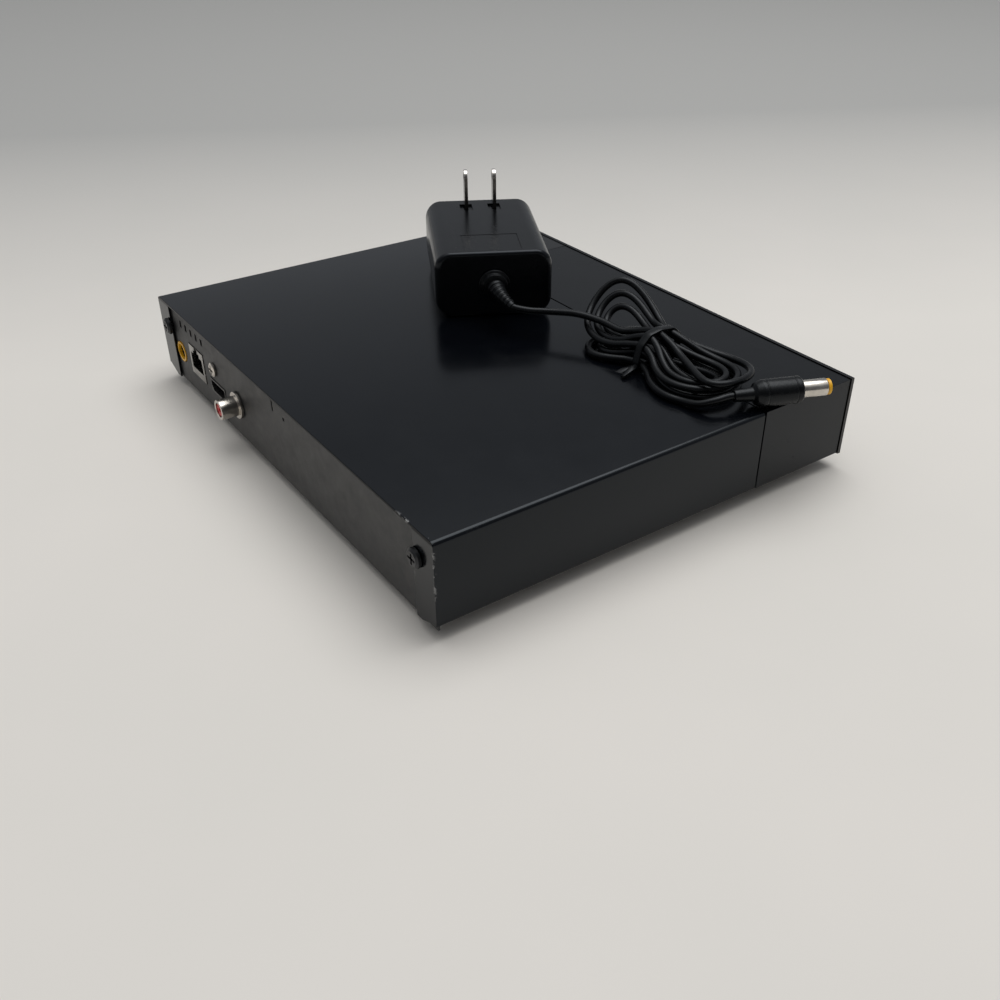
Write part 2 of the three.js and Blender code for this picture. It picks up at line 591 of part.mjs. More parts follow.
function frontBezel() {
  const across = [-side, split - clear];
  const shell = brick(across, [bezelFront, seam - seamGap / 2], [bezelFoot, roof]);
  const inside = widen(across, -bezel.wall);
  const hollow = brick(inside, [bezelFront + bezel.wall, seam + over], [bezelFoot - over, roof - bezel.wall]);
  const mouthSpan = [bezelFront - over, bezelFront + bezel.wall + over];
  const mouth = brick(widen(doorAcross, clear), mouthSpan, widen(doorSpan, clear));
  piece('front_bezel', cut(shell, hollow, mouth), 'blackPlastic');
  const sheet = brick([-half, split - clear], [front, front + plate.thick], [bezelFoot - unit.lip, height]);
  piece('front_plate', cut(sheet, mouth), 'glossPlastic');
}

const keyPlaces = [-key.pitch / 2, key.pitch / 2].map((offset) => [blockMid + offset, roof - key.fromTop]);
const usbAt = [blockMid, unit.rise + usb.rise];
const lampAt = [blockMid - lamp.fromUsb, usbAt[1]];
const wallIn = front + block.wall;

function controlBlock() {
  const across = [split, side];
  const shell = brick(across, [front, seam - seamGap / 2], [bezelFoot, roof]);
  const hollowUp = [bezelFoot - over, roof - block.wall];
  const hollow = brick(widen(across, -block.wall), [wallIn, seam + over], hollowUp);
  const face = brick([split, half], [front, front + plate.thick], [bezelFoot - unit.lip, height]);
  const through = [front - over, wallIn + over];
  const mouth = ([x, z], wide, high) => {
    return brick(around(x, wide / 2 + clear), through, around(z, high / 2 + clear));
  };
  const holes = keyPlaces.map((place) => mouth(place, key.wide, key.high));
  holes.push(mouth(usbAt, usb.wide, usb.high));
  holes.push(disk(...lampAt, lamp.radius + clear, through, 'y', sides.small));
  piece('control_block', cut(join(shell, face), hollow, ...holes), 'glossPlastic');
}

function controls() {
  ['power_button', 'eject_button'].forEach((name, i) => {
    const [x, z] = keyPlaces[i];
    const outline = roundedBox(x, z, key.wide, key.high, key.corner, arcSteps.key);
    const cap = prism(outline, [front + key.recess, front + key.deep], 'y');
    const flange = [around(x, key.wide / 2 + key.flange), around(z, key.high / 2 + key.flange)];
    const back = brick(flange[0], [wallIn + clear, wallIn + clear + key.flangeThick], flange[1]);
    piece(name, join(cap, back), 'glossPlastic');
  });
  const face = front + frontBoard.fromFront;
  const low = floorTop + clear;
  const across = [split + frontBoard.sideGap, side - frontBoard.sideGap];
  const sheet = brick(across, [face, face + frontBoard.thick], [low, roof - block.wall - frontBoard.topGap]);
  const [x, z] = usbAt;
  const notchUp = around(z, usb.high / 2 + clear);
  const notch = brick(around(x, usb.wide / 2 + clear), widen([face, face], over), notchUp);
  const switches = keyPlaces.map((place) => {
    const [wide, up] = place.map((middle) => around(middle, switchBody.size / 2));
    const body = brick(wide, [face - switchBody.deep, face + clear], up);
    const reach = front + key.deep + key.travel + clear;
    return join(body, disk(...place, switchBody.plunger, [reach, face], 'y', sides.small));
  });
  piece('front_board', join(cut(sheet, notch), ...switches), 'boardGreen');
  usbPort();
  const pipe = disk(...lampAt, lamp.radius, [front + key.recess, wallIn + lamp.backReach], 'y', sides.small);
  const rimFront = wallIn + clear;
  const rim = disk(...lampAt, lamp.flange, [rimFront, rimFront + lamp.flangeThick], 'y', sides.small);
  piece('indicator_lens', join(pipe, rim), 'whitePlastic');
}

function usbPort() {
  const [x, z] = usbAt;
  const out = front + key.recess;
  const [w, h] = [usb.wide / 2, usb.high / 2];
  const shell = brick(around(x, w), [out, out + usb.deep], around(z, h));
  const hollowLong = [out - over, out + usb.deep - usb.wall];
  const hollow = brick(around(x, w - usb.wall), hollowLong, around(z, h - usb.wall));
  const tongueSpan = [out + usb.wall, out + usb.deep - usb.wall / 2];
  const tongue = brick(around(x, usbTongue.wide / 2), tongueSpan, [z, z + usbTongue.high]);
  piece('usb_port', join(cut(shell, hollow), tongue), 'nickel');
}

// Loader frame: a moulded tub with ledges for the tray, a well for the traverse and pins for the gears
const frameFront = bezelFront + bezel.wall + loader.frontGap;
const wellFront = discY - traverse.front - well.frontGap;
const wellRear = loaderRear - loader.wall - well.rearInset;
const wellHalf = traverse.halfWide + well.sideGap;
const pivotY = loaderRear - traverse.pivotInset - traverse.rearInset + well.rearInset;
const loaderX = (offset) => loaderMid + offset;
const between = (a, b) => [Math.min(a, b), Math.max(a, b)];

function loaderFrame() {
  const spanX = around(loaderMid, loaderHalf);
  const innerX = widen(spanX, -loader.wall);
  const long = [frameFront, loaderRear];
  const sky = loaderTop + over;
  const tub = brick(spanX, long, [deckLow, loaderTop]);
  const inside = brick(innerX, widen(long, -loader.wall), [deckTop, sky]);
  const frontLow = trayLow - rack.high - clear;
  const mouth = brick(innerX, [frameFront - over, frameFront + loader.wall + over], [frontLow, sky]);
  const tailSpan = [loaderRear - loader.wall - over, loaderRear + over];
  const tailRoom = brick(innerX, tailSpan, [trayLow - clear, sky]);
  const wellCut = brick(around(loaderMid, wellHalf), [wellFront, wellRear], [deckLow - over, deckTop + over]);
  const ledges = [-1, 1].map((way) => {
    const across = between(loaderX(way * loaderHalf), loaderX(way * (loaderHalf - loader.wall - ledge.reach)));
    return brick(across, long, [trayLow - clear - ledge.thick, trayLow - clear]);
  });
  const cradles = [-1, 1].map((way) => {
    const near = wellHalf + clear - pivot.inset;
    const edges = between(loaderX(way * near), loaderX(way * (near + pivot.cradleWide)));
    const body = brick(edges, around(pivotY, pivot.cradleLong / 2), [deckLow, traverseMid + pivot.cradleRise]);
    const slotUp = [traverseMid - pivot.radius - clear, traverseMid + pivot.cradleRise + over];
    return cut(body, brick(widen(edges, over), around(pivotY, pivot.radius + clear), slotUp));
  });
  const pins = [[trayGearAt, gearLow], [beltPulleyAt, pulleyLow]].map(([place, seat]) => {
    const shoulder = disk(...place, axle.shoulder, [deckLow, seat - clear], 'z', sides.mid);
    return join(shoulder, disk(...place, axle.radius, [deckLow, gearTop], 'z', sides.small));
  });
  const frame = cut(tub, inside, mouth, tailRoom, wellCut);
  piece('loader_frame', join(frame, ...ledges, ...cradles, ...pins), 'blackPlastic');
}

// Disc tray: a plate with a round pocket, a window open to the rear, side rails and a rack below
function discTray() {
  const floorZ = trayLow + tray.thick;
  const long = [trayFront, trayRear];
  const outer = brick(around(loaderMid, trayHalf), long, [trayLow, trayTop]);
  const pocketRadius = disc.radius + disc.rimRoom;
  const pocket = disk(loaderMid, discY, pocketRadius, [floorZ, trayTop + over], 'z', sides.pocket);
  const stepSpan = [floorZ - tray.thick * trayStepShare.deep, floorZ + over];
  const step = disk(loaderMid, discY, disc.radius * trayStepShare.radius, stepSpan, 'z', sides.broad);
  const openingLong = [discY - tray.windowFront, trayRear + over];
  const opening = brick(around(loaderMid, tray.windowHalf), openingLong, [trayLow - over, trayTop + over]);
  const rails = brick(around(loaderMid, railHalf), long, [trayLow, trayLow + tray.railThick]);
  const innerHalfWide = trayHalf - tray.flange;
  const inner = brick(around(loaderMid, innerHalfWide), widen(long, over), widen([trayLow, trayLow], over));
  const body = cut(join(outer, cut(rails, inner)), pocket, step, opening);
  piece('disc_tray', join(body, rackBar()), 'blackPlastic');
}

function rackBar() {
  const inner = loaderX(-rackOffset);
  const [from, to] = [trayFront + rack.frontInset, trayRear - rack.rearInset];
  const count = Math.floor((to - from) / rack.pitch);
  const points = [spot(inner - rack.wide, from), spot(inner - rack.wide, from + count * rack.pitch)];
  for (let i = count; i > 0; i -= 1) {
    const y = from + i * rack.pitch;
    points.push(spot(inner, y), spot(inner, y - rack.pitch * rackToothShare.crest));
    points.push(spot(inner - rack.toothDeep, y - rack.pitch * rackToothShare.flank));
    points.push(spot(inner - rack.toothDeep, y - rack.pitch * rackToothShare.root));
  }
  points.push(spot(inner, from));
  return prism(points, [trayLow - rack.high, trayLow + tray.thick / 2]);
}

function trayFrontDoor() {
  const [x0, x1] = doorAcross;
  const [z0, z1] = doorSpan;
  const outline = roundedBox((x0 + x1) / 2, (z0 + z1) / 2, x1 - x0, z1 - z0, trayDoor.edge / 2, arcSteps.key);
  piece('tray_door', prism(outline, [front, front + trayDoor.thick], 'y'), 'glossPlastic');
}

// Clamp bridge across the loader, and the clamper that hangs in its middle
function clamp() {
  const across = around(loaderMid, loaderHalf);
  const top = bridgeLow + bridge.thick;
  const strip = brick(across, around(discY, bridge.halfLong), [bridgeLow, top]);
  const ribs = [-1, 1].map((way) => {
    const y = discY + way * (bridge.halfLong - bridge.ribWide);
    return brick(across, around(y, bridge.ribWide / 2), [bridgeLow, top + bridge.rib]);
  });
  const hub = disk(loaderMid, discY, bridge.hub, [bridgeLow, top], 'z', sides.large);
  const holeSpan = [bridgeLow - over, top + bridge.rib + over];
  const hole = disk(loaderMid, discY, bridge.hole, holeSpan, 'z', sides.large);
  const capRoom = disk(loaderMid, discY, clamper.capRadius + play, [top, top + over], 'z', sides.large);
  piece('clamp_bridge', cut(join(strip, ...ribs, hub), hole, capRoom), 'steel');
  const flangeTop = clamperLow + clamper.thick;
  const capTop = capLow + clamper.capThick;
  const profile = [[0, clamperLow], [clamper.radius, clamperLow], [clamper.radius, flangeTop],
    [clamper.neck, flangeTop], [clamper.neck, capLow], [clamper.capRadius, capLow],
    [clamper.capRadius, capTop], [0, capTop]];
  piece('disc_clamper', turned(profile, 'z', [loaderMid, discY, 0], sides.large), 'whitePlastic');
}

// Traverse: a steel frame that tilts on two rear pivots and carries spindle, rods, pickup and sled drive
const plateLow = traverseMid - traverse.thick / 2;
const plateTop = traverseMid + traverse.thick / 2;
const traverseFront = discY - traverse.front;
const traverseRear = pivotY + traverse.pivotInset;
const rodHeight = plateTop + clear + rod.radius;
const sledFront = discY + sledWell.front;
const sledRear = traverseRear - sledWell.rearBar;
const screwAt = [loaderX(screwOffset), traverseMid - screwDrive.drop];
const rodsAt = [-1, 1].map((way) => [loaderX(way * rodOffset), rodHeight]);
const motorBack = sledFront - clear - sledMotor.long;
const camNear = traverseFront - camPin.reach - play;

function traverseFrame() {
  const through = [plateLow - over, plateTop + over];
  const across = around(loaderMid, traverse.halfWide);
  const sheet = brick(across, [traverseFront, traverseRear], [plateLow, plateTop]);
  const opening = brick(around(loaderMid, sledHalf), [sledFront, sledRear], through);
  const roomX = around(screwAt[0], sledMotor.radius + clear);
  const motorRoom = brick(roomX, [motorBack - clear, sledFront + over], through);
  const pivotSpan = around(loaderMid, traverse.halfWide + pivot.reach);
  const pivots = disk(pivotY, traverseMid, pivot.radius, pivotSpan, 'x', sides.small);
  const pinSpan = [traverseFront - camPin.reach, traverseFront + over];
  const pin = disk(loaderMid, traverseMid, camPin.radius, pinSpan, 'y', sides.small);
  const bosses = [];
  for (const [x] of rodsAt) {
    for (const edge of [sledFront - rodBoss.long, sledRear]) {
      const up = [plateLow, rodHeight + rod.radius + rodBoss.wall];
      bosses.push(brick(around(x, rodBoss.wide / 2), [edge, edge + rodBoss.long], up));
    }
  }
  const [bossX, bossZ] = screwAt.map((middle) => around(middle, screwBoss.half));
  bosses.push(brick(bossX, [sledRear, sledRear + screwBoss.long], bossZ));
  const rodRun = [sledFront - rodBoss.long - over, sledRear + rodBoss.long + over];
  const bores = rodsAt.map((place) => disk(...place, rod.radius + clear, rodRun, 'y', sides.mid));
  bores.push(disk(...screwAt, screwDrive.radius + clear, [sledRear - over, rodRun[1]], 'y', sides.mid));
  const frame = join(cut(sheet, opening, motorRoom), pivots, pin, ...bosses);
  piece('traverse_frame', cut(frame, ...bores), 'darkSteel');
}

function spindleParts() {
  const low = plateTop + clear;
  const top = low + spindle.high;
  const motor = cut(disk(loaderMid, discY, spindle.radius, [low, top], 'z', sides.broad),
    disk(loaderMid, discY, spindle.bore, [low + clear, top + over], 'z', sides.small));
  piece('spindle_motor', motor, 'aluminium');
  const base = top + clear;
  const hubTop = discPlay + turntable.hubHigh;
  const foot = base - turntable.shaft;
  const profile = [[0, foot], [turntable.shaft, foot], [turntable.shaft, base], [turntable.radius, base],
    [turntable.radius, discPlay], [turntable.hubRadius, discPlay],
    [turntable.hubRadius, discPlay + turntable.hubEdge], [turntable.hubTop, hubTop], [0, hubTop]];
  piece('turntable', turned(profile, 'z', [loaderMid, discY, 0], sides.large), 'blackPlastic');
  const ends = [sledFront - rodBoss.long, sledRear + rodBoss.long];
  rodsAt.forEach((place, i) => {
    piece(`guide_rod_${i ? 'right' : 'left'}`, disk(...place, rod.radius, ends, 'y', sides.small), 'steel');
  });
}

const lensY = discY + pickup.fromSpindle;

function pickupParts() {
  const [low, high] = [traverseMid - pickup.below, traverseMid + pickup.above];
  const long = [lensY - pickup.ahead, lensY + pickup.behind];
  const body = brick(around(loaderMid, pickupHalf), long, [low, high]);
  const armLong = around(lensY + pickup.behind / 2, screwDrive.armHigh);
  const armUp = around(screwAt[1], screwDrive.armHigh / 2);
  const arm = brick([loaderX(pickupHalf - over), screwAt[0]], armLong, armUp);
  const run = widen(long, over);
  const bores = rodsAt.map((place) => disk(...place, rod.radius + clear, run, 'y', sides.mid));
  bores.push(disk(...screwAt, screwDrive.radius + screwDrive.thread + clear, run, 'y', sides.mid));
  bores.push(disk(loaderMid, lensY, lens.well, [high - lens.high - play, high + over]));
  piece('optical_pickup', cut(join(body, arm), ...bores), 'darkSteel');
  const base = high - lens.high;
  const top = high + lens.proud;
  const profile = [[0, base], [lens.well - clear, base], [lens.well - clear, high], [lens.radius, top],
    [lens.optic, top], [lens.crown, top + lens.crownHigh], [0, top + lens.dish]];
  piece('objective_lens', turned(profile, 'z', [loaderMid, lensY, 0], sides.small), 'glass');
}

function sledDrive() {
  piece('sled_motor', disk(...screwAt, sledMotor.radius, [motorBack, sledFront - clear], 'y'), 'steel');
  const [from, to] = [sledFront, sledRear + screwBoss.long];
  const crest = screwDrive.radius + screwDrive.thread;
  const profile = [[0, from], [screwDrive.radius, from]];
  const turns = Math.floor((sledRear - from - 2 * clear) / screwDrive.pitch);
  for (let i = 0; i < turns; i += 1) {
    const at = (share) => from + clear + (i + share) * screwDrive.pitch;
    profile.push([screwDrive.radius, at(0)], [crest, at(threadShare.rise)]);
    profile.push([crest, at(threadShare.crest)], [screwDrive.radius, at(threadShare.fall)]);
  }
  profile.push([screwDrive.radius, to], [0, to]);
  piece('lead_screw', turned(profile, 'y', [screwAt[0], 0, screwAt[1]], sides.screw), 'steel');
}

// Cam slider: a bar across the loader whose sloping slot lowers the front of the traverse
function camSlider() {
  const pinY = [camNear, camNear + cam.thick];
  const radius = camPin.radius + clear;
  const drop = (pivotY - camNear - cam.thick / 2) * Math.sin(THREE.MathUtils.degToRad(traverse.tilt));
  const across = around(loaderX(-cam.stroke / 2), cam.halfLong);
  const bar = brick(across, pinY, [deckTop + clear, trayLow - cam.underTray]);
  const quarter = Math.PI / 2;
  const at = (x, z, turn) => arc(x, z, radius, turn, turn + quarter, arcSteps.corner).reverse();
  const [start, end] = [loaderMid, loaderX(-cam.stroke)];
  const slot = [...at(start, traverseMid, 0), ...at(start, traverseMid, -quarter),
    ...at(end, traverseMid - drop, -2 * quarter), ...at(end, traverseMid - drop, quarter)];
  piece('cam_slider', cut(bar, prism(slot, widen(pinY, over), 'y')), 'whitePlastic');
}

// Loading drive: motor, belt and two gears on the loader's pins
const driveY = camNear - loadMotor.fromCam;
const trayGearAt = [loaderX(-rackOffset) + clear + trayGear.radius, driveY];
const beltPulleyAt = [trayGearAt[0] + trayGear.radius + beltPulley.hubRadius + clear, driveY];
const motorAt = [beltPulleyAt[0] + loadMotor.reach, driveY];

function loadingDrive() {
  const motor = disk(...motorAt, loadMotor.radius, [deckTop + clear, motorTop], 'z', sides.large);
  piece('loading_motor', motor, 'steel');
  const mid = pulleyLow + beltPulley.high / 2;
  const groove = around(mid, belt.high / 2 + clear);
  const grooved = (size, low, high) => {
    const edge = size.radius + size.lip;
    return [[0, low], [edge, low], [edge, groove[0]], [size.radius, groove[0]], [size.radius, groove[1]],
      [edge, groove[1]], [edge, high], [0, high]];
  };
  const small = grooved(motorPulley, motorTop + clear, groove[1] + motorPulley.lipHigh);
  piece('motor_pulley', turned(small, 'z', [...motorAt, 0], sides.mid), 'whitePlastic');
  const pulleyTop = pulleyLow + beltPulley.high;
  const boreOf = (place, low) =>
    disk(...place, axle.radius + clear, [low - over, gearTop + over], 'z', sides.small);
  const hub = toothed(...beltPulleyAt, beltPulley.hubRadius, beltPulley.teeth, trayGear.toothDeep);
  const pulley = join(turned(grooved(beltPulley, pulleyLow, pulleyTop), 'z', [...beltPulleyAt, 0]),
    prism(hub, [pulleyTop - clear, gearTop]));
  piece('pulley_gear', cut(pulley, boreOf(beltPulleyAt, pulleyLow)), 'whitePlastic');
  const teeth = toothed(...trayGearAt, trayGear.radius, trayGear.teeth, trayGear.toothDeep);
  piece('tray_gear', cut(prism(teeth, [gearLow, gearTop]), boreOf(trayGearAt, gearLow)), 'whitePlastic');
  piece('drive_belt', beltLoop(mid), 'rubber');
}

// The belt lies in both grooves: an outline round two circles, with the same outline a belt smaller cut out
function beltLoop(mid) {
  const reach = motorAt[0] - beltPulleyAt[0];
  const lean = Math.acos((beltPulley.radius - motorPulley.radius) / reach);
  const round = (grow) => [
    ...arc(...beltPulleyAt, beltPulley.radius + grow, lean, 2 * Math.PI - lean, arcSteps.belt),
    ...arc(...motorAt, motorPulley.radius + grow, -lean, lean, arcSteps.pulley),
  ];
  const span = [mid - belt.high / 2, mid + belt.high / 2];
  return cut(prism(round(clear + belt.thick), span), prism(round(clear), widen(span, over)));
}

// Power supply case: a rounded shell, its lid with the blades, and the circuit inside
function supplyCase() {
  const planOf = (inset, corner) =>
    roundedBox(0, 0, supply.wide - 2 * inset, supply.long - 2 * inset, corner, arcSteps.corner);
  const lidLow = supply.high - supply.lid;
  const edge = roundedBox(0, supply.high / 2, supply.wide, supply.high, supply.corner, arcSteps.edge);
  const caseBlock = prism(edge, around(0, supply.long / 2), 'y');
  const lower = brick(around(0, supply.wide), around(0, supply.long), [-over, lidLow - clear / 2]);
  const hollow = prism(planOf(supply.wall, supply.innerCorner), [supply.wall, supply.high + over]);
  const body = caseBlock.intersect(prism(planOf(0, supply.endCorner), [-over, supply.high + over]));
  const exitSpan = [supply.long / 2 - supply.wall - over, supply.long / 2 + over];
  const exit = disk(0, supply.high / 2, collar.neck + clear, exitSpan, 'y');
  piece('adapter_case', cut(body.intersect(lower), hollow, exit), 'blackPlastic', powerSupply);
  const lidUp = [lidLow + clear / 2, supply.high + over];
  const upper = brick(around(0, supply.wide), around(0, supply.long), lidUp);
  const skin = prism(planOf(supply.lidWall, supply.endCorner), [lidLow - over, supply.high - supply.wall]);
  const sky = supply.high + over;
  const wellLong = around(bladeY, bladeWell.wide / 2);
  const slotLong = around(bladeY, bladeSize.wide / 2 + clear);
  const wells = bladePlaces().flatMap((x) => [
    brick(around(x, bladeWell.thick / 2), wellLong, [supply.high - bladeWell.deep, sky]),
    brick(around(x, bladeSize.thick / 2 + clear), slotLong, [lidLow - over, sky]),
  ]);
  piece('adapter_lid', cut(body.intersect(upper), skin, ...wells, seamLine()), 'blackPlastic', powerSupply);
}

const bladeY = -supply.long / 2 + bladeSize.fromFar;
const bladePlaces = () => [-bladeSize.spread / 2, bladeSize.spread / 2];

// A fine groove on the lid, round three sides of a rectangle at the cord end
function seamLine() {
  const end = supply.long / 2 - supplySeam.fromFace;
  const far = end - supplySeam.long;
  const deep = [supply.high - supplySeam.deep, supply.high + over];
  const outer = brick(around(0, supplySeam.wide / 2), [far, end], deep);
  const innerLong = [far + supplySeam.line, end + over];
  const inner = brick(around(0, supplySeam.wide / 2 - supplySeam.line), innerLong, widen(deep, over));
  return cut(outer, inner);
}

function supplyInside() {
  const low = supply.wall + clear;
  const wide = supply.wide / 2 - supply.wall - clear;
  const reach = around(0, supply.long / 2 - supply.wall - circuit.inset);
  const sheet = brick(around(0, wide - circuit.sideInset), reach, [low, low + circuit.board]);
  const coil = disk(0, 0, circuit.coilRadius, [low, low + circuit.coilHigh]);
  const core = [circuit.coreHalfWide, circuit.coreHalfLong].map((halfSize) => around(0, halfSize));
  const pole = brick(...core, [low, low + circuit.high]);
  piece('adapter_circuit', join(sheet, coil, pole), 'boardGreen', powerSupply);
  bladePlaces().forEach((x, i) => {
    const root = supply.high - supply.lid - bladeSize.root;
    const top = supply.high + bladeSize.long;
    const outline = [spot(bladeY - bladeSize.wide / 2, root), spot(bladeY + bladeSize.wide / 2, root),
      ...arc(bladeY, top - bladeSize.wide / 2, bladeSize.wide / 2, 0, Math.PI, arcSteps.blade)];
    const hole = circle(bladeY, top - bladeSize.tipInset, bladeSize.hole, sides.small);
    const blade = prism(outline, around(x, bladeSize.thick / 2), 'x', [hole]);
    piece(`blade_${i ? 'right' : 'left'}`, blade, 'nickel', powerSupply);
  });
}

// Places beside the supply, in the player's own frame
const turnOf = THREE.MathUtils.degToRad(supply.turn);
const outward = new THREE.Vector3(-Math.sin(turnOf), Math.cos(turnOf), 0);
const aside = new THREE.Vector3(-Math.cos(turnOf), -Math.sin(turnOf), 0);
const exitPlace = new THREE.Vector3(supply.x, supply.y, rest + supply.high / 2)
  .addScaledVector(outward, supply.long / 2);

// Strain relief: a collar on the case and a ribbed taper that bends down and aside
function reliefCurve() {
  const start = exitPlace.clone().addScaledVector(outward, -supply.wall / 2);
  const bend = exitPlace.clone().addScaledVector(outward, relief.straight);
  const end = exitPlace.clone().addScaledVector(outward, relief.length).addScaledVector(aside, relief.aside);
  end.z -= relief.drop;
  return new THREE.QuadraticBezierCurve3(start, bend, end);
}

function strainRelief() {
  const rings = 2 * relief.ribs;
  const curve = reliefCurve();
  const radii = Array.from({ length: rings + 1 }, (_, i) => {
    const taper = relief.startRadius + ((relief.endRadius - relief.startRadius) * i) / rings;
    return taper + (i % 2 ? relief.ribHigh : 0);
  });
  const points = Array.from({ length: rings + 1 }, (_, i) => curve.getPointAt(i / rings));
  const taper = solid(tube(points, radii, sides.relief));
  const profile = [[0, -supply.wall], [collar.neck, -supply.wall], [collar.neck, clear],
    [collar.radius, clear], [collar.radius, collar.thick], [collar.step, collar.thick],
    [collar.step, 2 * collar.thick], [0, 2 * collar.thick]];
  const turnedCollar = new THREE.LatheGeometry(profile.map(([r, h]) => spot(r, h)), sides.round);
  turnedCollar.rotateZ(turnOf).translate(exitPlace.x, exitPlace.y, exitPlace.z);
  piece('strain_relief', join(taper, solid(turnedCollar)), 'cordBlack');
}

// A tube through given points, one ring of sides to each, closed at both ends
function tube(points, radii, sides) {
  const count = points.length;
  const ahead = points.map((p, i) => {
    return points[Math.min(i + 1, count - 1)].clone().sub(points[Math.max(i - 1, 0)]).normalize();
  });
  const across = new THREE.Vector3(0, 0, 1).cross(ahead[0]).normalize();
  const position = [];
  points.forEach((p, i) => {
    across.addScaledVector(ahead[i], -across.dot(ahead[i])).normalize();
    const up = ahead[i].clone().cross(across);
    for (let k = 0; k < sides; k += 1) {
      const turn = (2 * Math.PI * k) / sides;
      const q = p.clone().addScaledVector(across, radii[i] * Math.cos(turn));
      q.addScaledVector(up, radii[i] * Math.sin(turn));
      position.push(q.x, q.y, q.z);
    }
  });
  const index = [];
  for (let i = 0; i + 1 < count; i += 1) {
    for (let k = 0; k < sides; k += 1) {
      const [a, b] = [i * sides + k, i * sides + ((k + 1) % sides)];
      index.push(a, b, a + sides, b, b + sides, a + sides);
    }
  }
  const last = (count - 1) * sides;
  for (let k = 1; k + 1 < sides; k += 1) index.push(0, k + 1, k, last, last + k, last + k + 1);
  const geometry = new THREE.BufferGeometry();
  geometry.setAttribute('position', new THREE.Float32BufferAttribute(position, 3));
  geometry.setIndex(index);
  geometry.computeVertexNormals();
  return geometry;
}

// Hank: loops drawn in at the waist, an upper layer that spirals in and a lower one that spirals out
const smooth = (share) => {
  const x = Math.min(Math.max(share, 0), 1);
  return x * x * (3 - 2 * x);
};
const mix = (a, b, share) => a + (b - a) * share;
const layerLow = rest + cord.radius;
const hankTop = 2 * hank.layer;

function hankLoops(turn) {
  const angle = Math.PI / 2 + 2 * Math.PI * turn;
  const [c, s] = [Math.cos(angle), Math.sin(angle)];
  const ring = Math.max(hank.turns - turn, turn - hank.turns - hankTurnShare.climb, 0);
  const upper = 1 - smooth((turn - hank.turns) / hankTurnShare.climb);
  const form = (name) => (c > 0 ? mix(hank.low[name], hank.high[name], upper) : hank.right[name]);
  const reach = form('reach') + form('reachStep') * ring;
  const bulge = form('bulge') + form('bulgeStep') * ring;
  const lobe = (c * c) / Math.hypot(c, hankShare.waist);
  const aside = s * (hank.middle + hank.pitch * ring + bulge * lobe) + form('fan') * c * c;
  const raise = upper * (form('lift') + form('liftStep') * ring) * c * c * ((1 - s) / 2) ** liftPower;
  const entering = smooth(turn / hankTurnShare.entering);
  const settling = smooth((turn - hankTurnShare.settleFrom) / hankTurnShare.settleLong);
  const level = mix(hankTop, upper * hank.layer, settling);
  const held = mix(hank.waist.top, hank.waist.stagger * staggered(ring) + hank.waist.upper * upper, settling);
  return hankSpot(reach * c, mix(0, aside, entering), level + raise, held);
}

// At the waist every second strand lies higher than its neighbours
function staggered(ring) {
  return smooth((ring - hankShare.stagger) / hankShare.stagger)
    * (1 - smooth((ring - 1) / hankShare.stagger - 1));
}

function hankSpot(along, aside, level, held) {
  const tight = Math.exp(-((along / hank.waist.half) ** 2));
  return new THREE.Vector3(hank.x + along, hank.y + aside * (1 - hankShare.squeeze * tight),
    layerLow + level + tight * (hank.waist.lift + held));
}

function hankPath() {
  const points = [];
  for (let i = 0; i < entrySteps; i += 1) {
    const share = 1 - i / entrySteps;
    points.push(hankSpot(hank.entryLong * share, hank.entryAside * share * share, hankTop, hank.waist.top));
  }
  const total = 2 * hank.turns + hankTurnShare.end;
  const steps = Math.round(total * hankSteps);
  for (let i = 0; i <= steps; i += 1) points.push(hankLoops((total * i) / steps));
  const straight = (end, before) => {
    return end.clone().addScaledVector(end.clone().sub(before).normalize(), 2 * cord.radius);
  };
  return [straight(points[0], points[1]), ...points, straight(points.at(-1), points.at(-2))];
}

function leastGap(points, radius) {
  const places = [0];
  for (let i = 1; i < points.length; i += 1) places.push(places[i - 1] + points[i].distanceTo(points[i - 1]));
  const fine = [];
  for (let i = 1; i < points.length; i += 1) {
    for (const share of [0, 0.5]) {
      fine.push([points[i - 1].clone().lerp(points[i], share), mix(places[i - 1], places[i], share)]);
    }
  }
  let least = Infinity;
  for (const [p, at] of fine) {
    for (const [q, other] of fine) {
      if (other - at > 8 * radius) least = Math.min(least, p.distanceTo(q));
    }
  }
  return least - 2 * radius;
}

// Plug: a moulded body with its neck, a hollow metal barrel and an insulating tip
const plugTurn = THREE.MathUtils.degToRad(plug.turn);
const plugAhead = new THREE.Vector3(Math.cos(plugTurn), Math.sin(plugTurn), 0);
const plugPlace = new THREE.Vector3(plug.x, plug.y, rest + plug.radius);

function alongPlug(profile, steps = sides.mid) {
  const geometry = new THREE.LatheGeometry(profile.map(([r, h]) => spot(r, h)), steps);
  geometry.rotateZ(plugTurn - Math.PI / 2).translate(plugPlace.x, plugPlace.y, plugPlace.z);
  return solid(geometry);
}

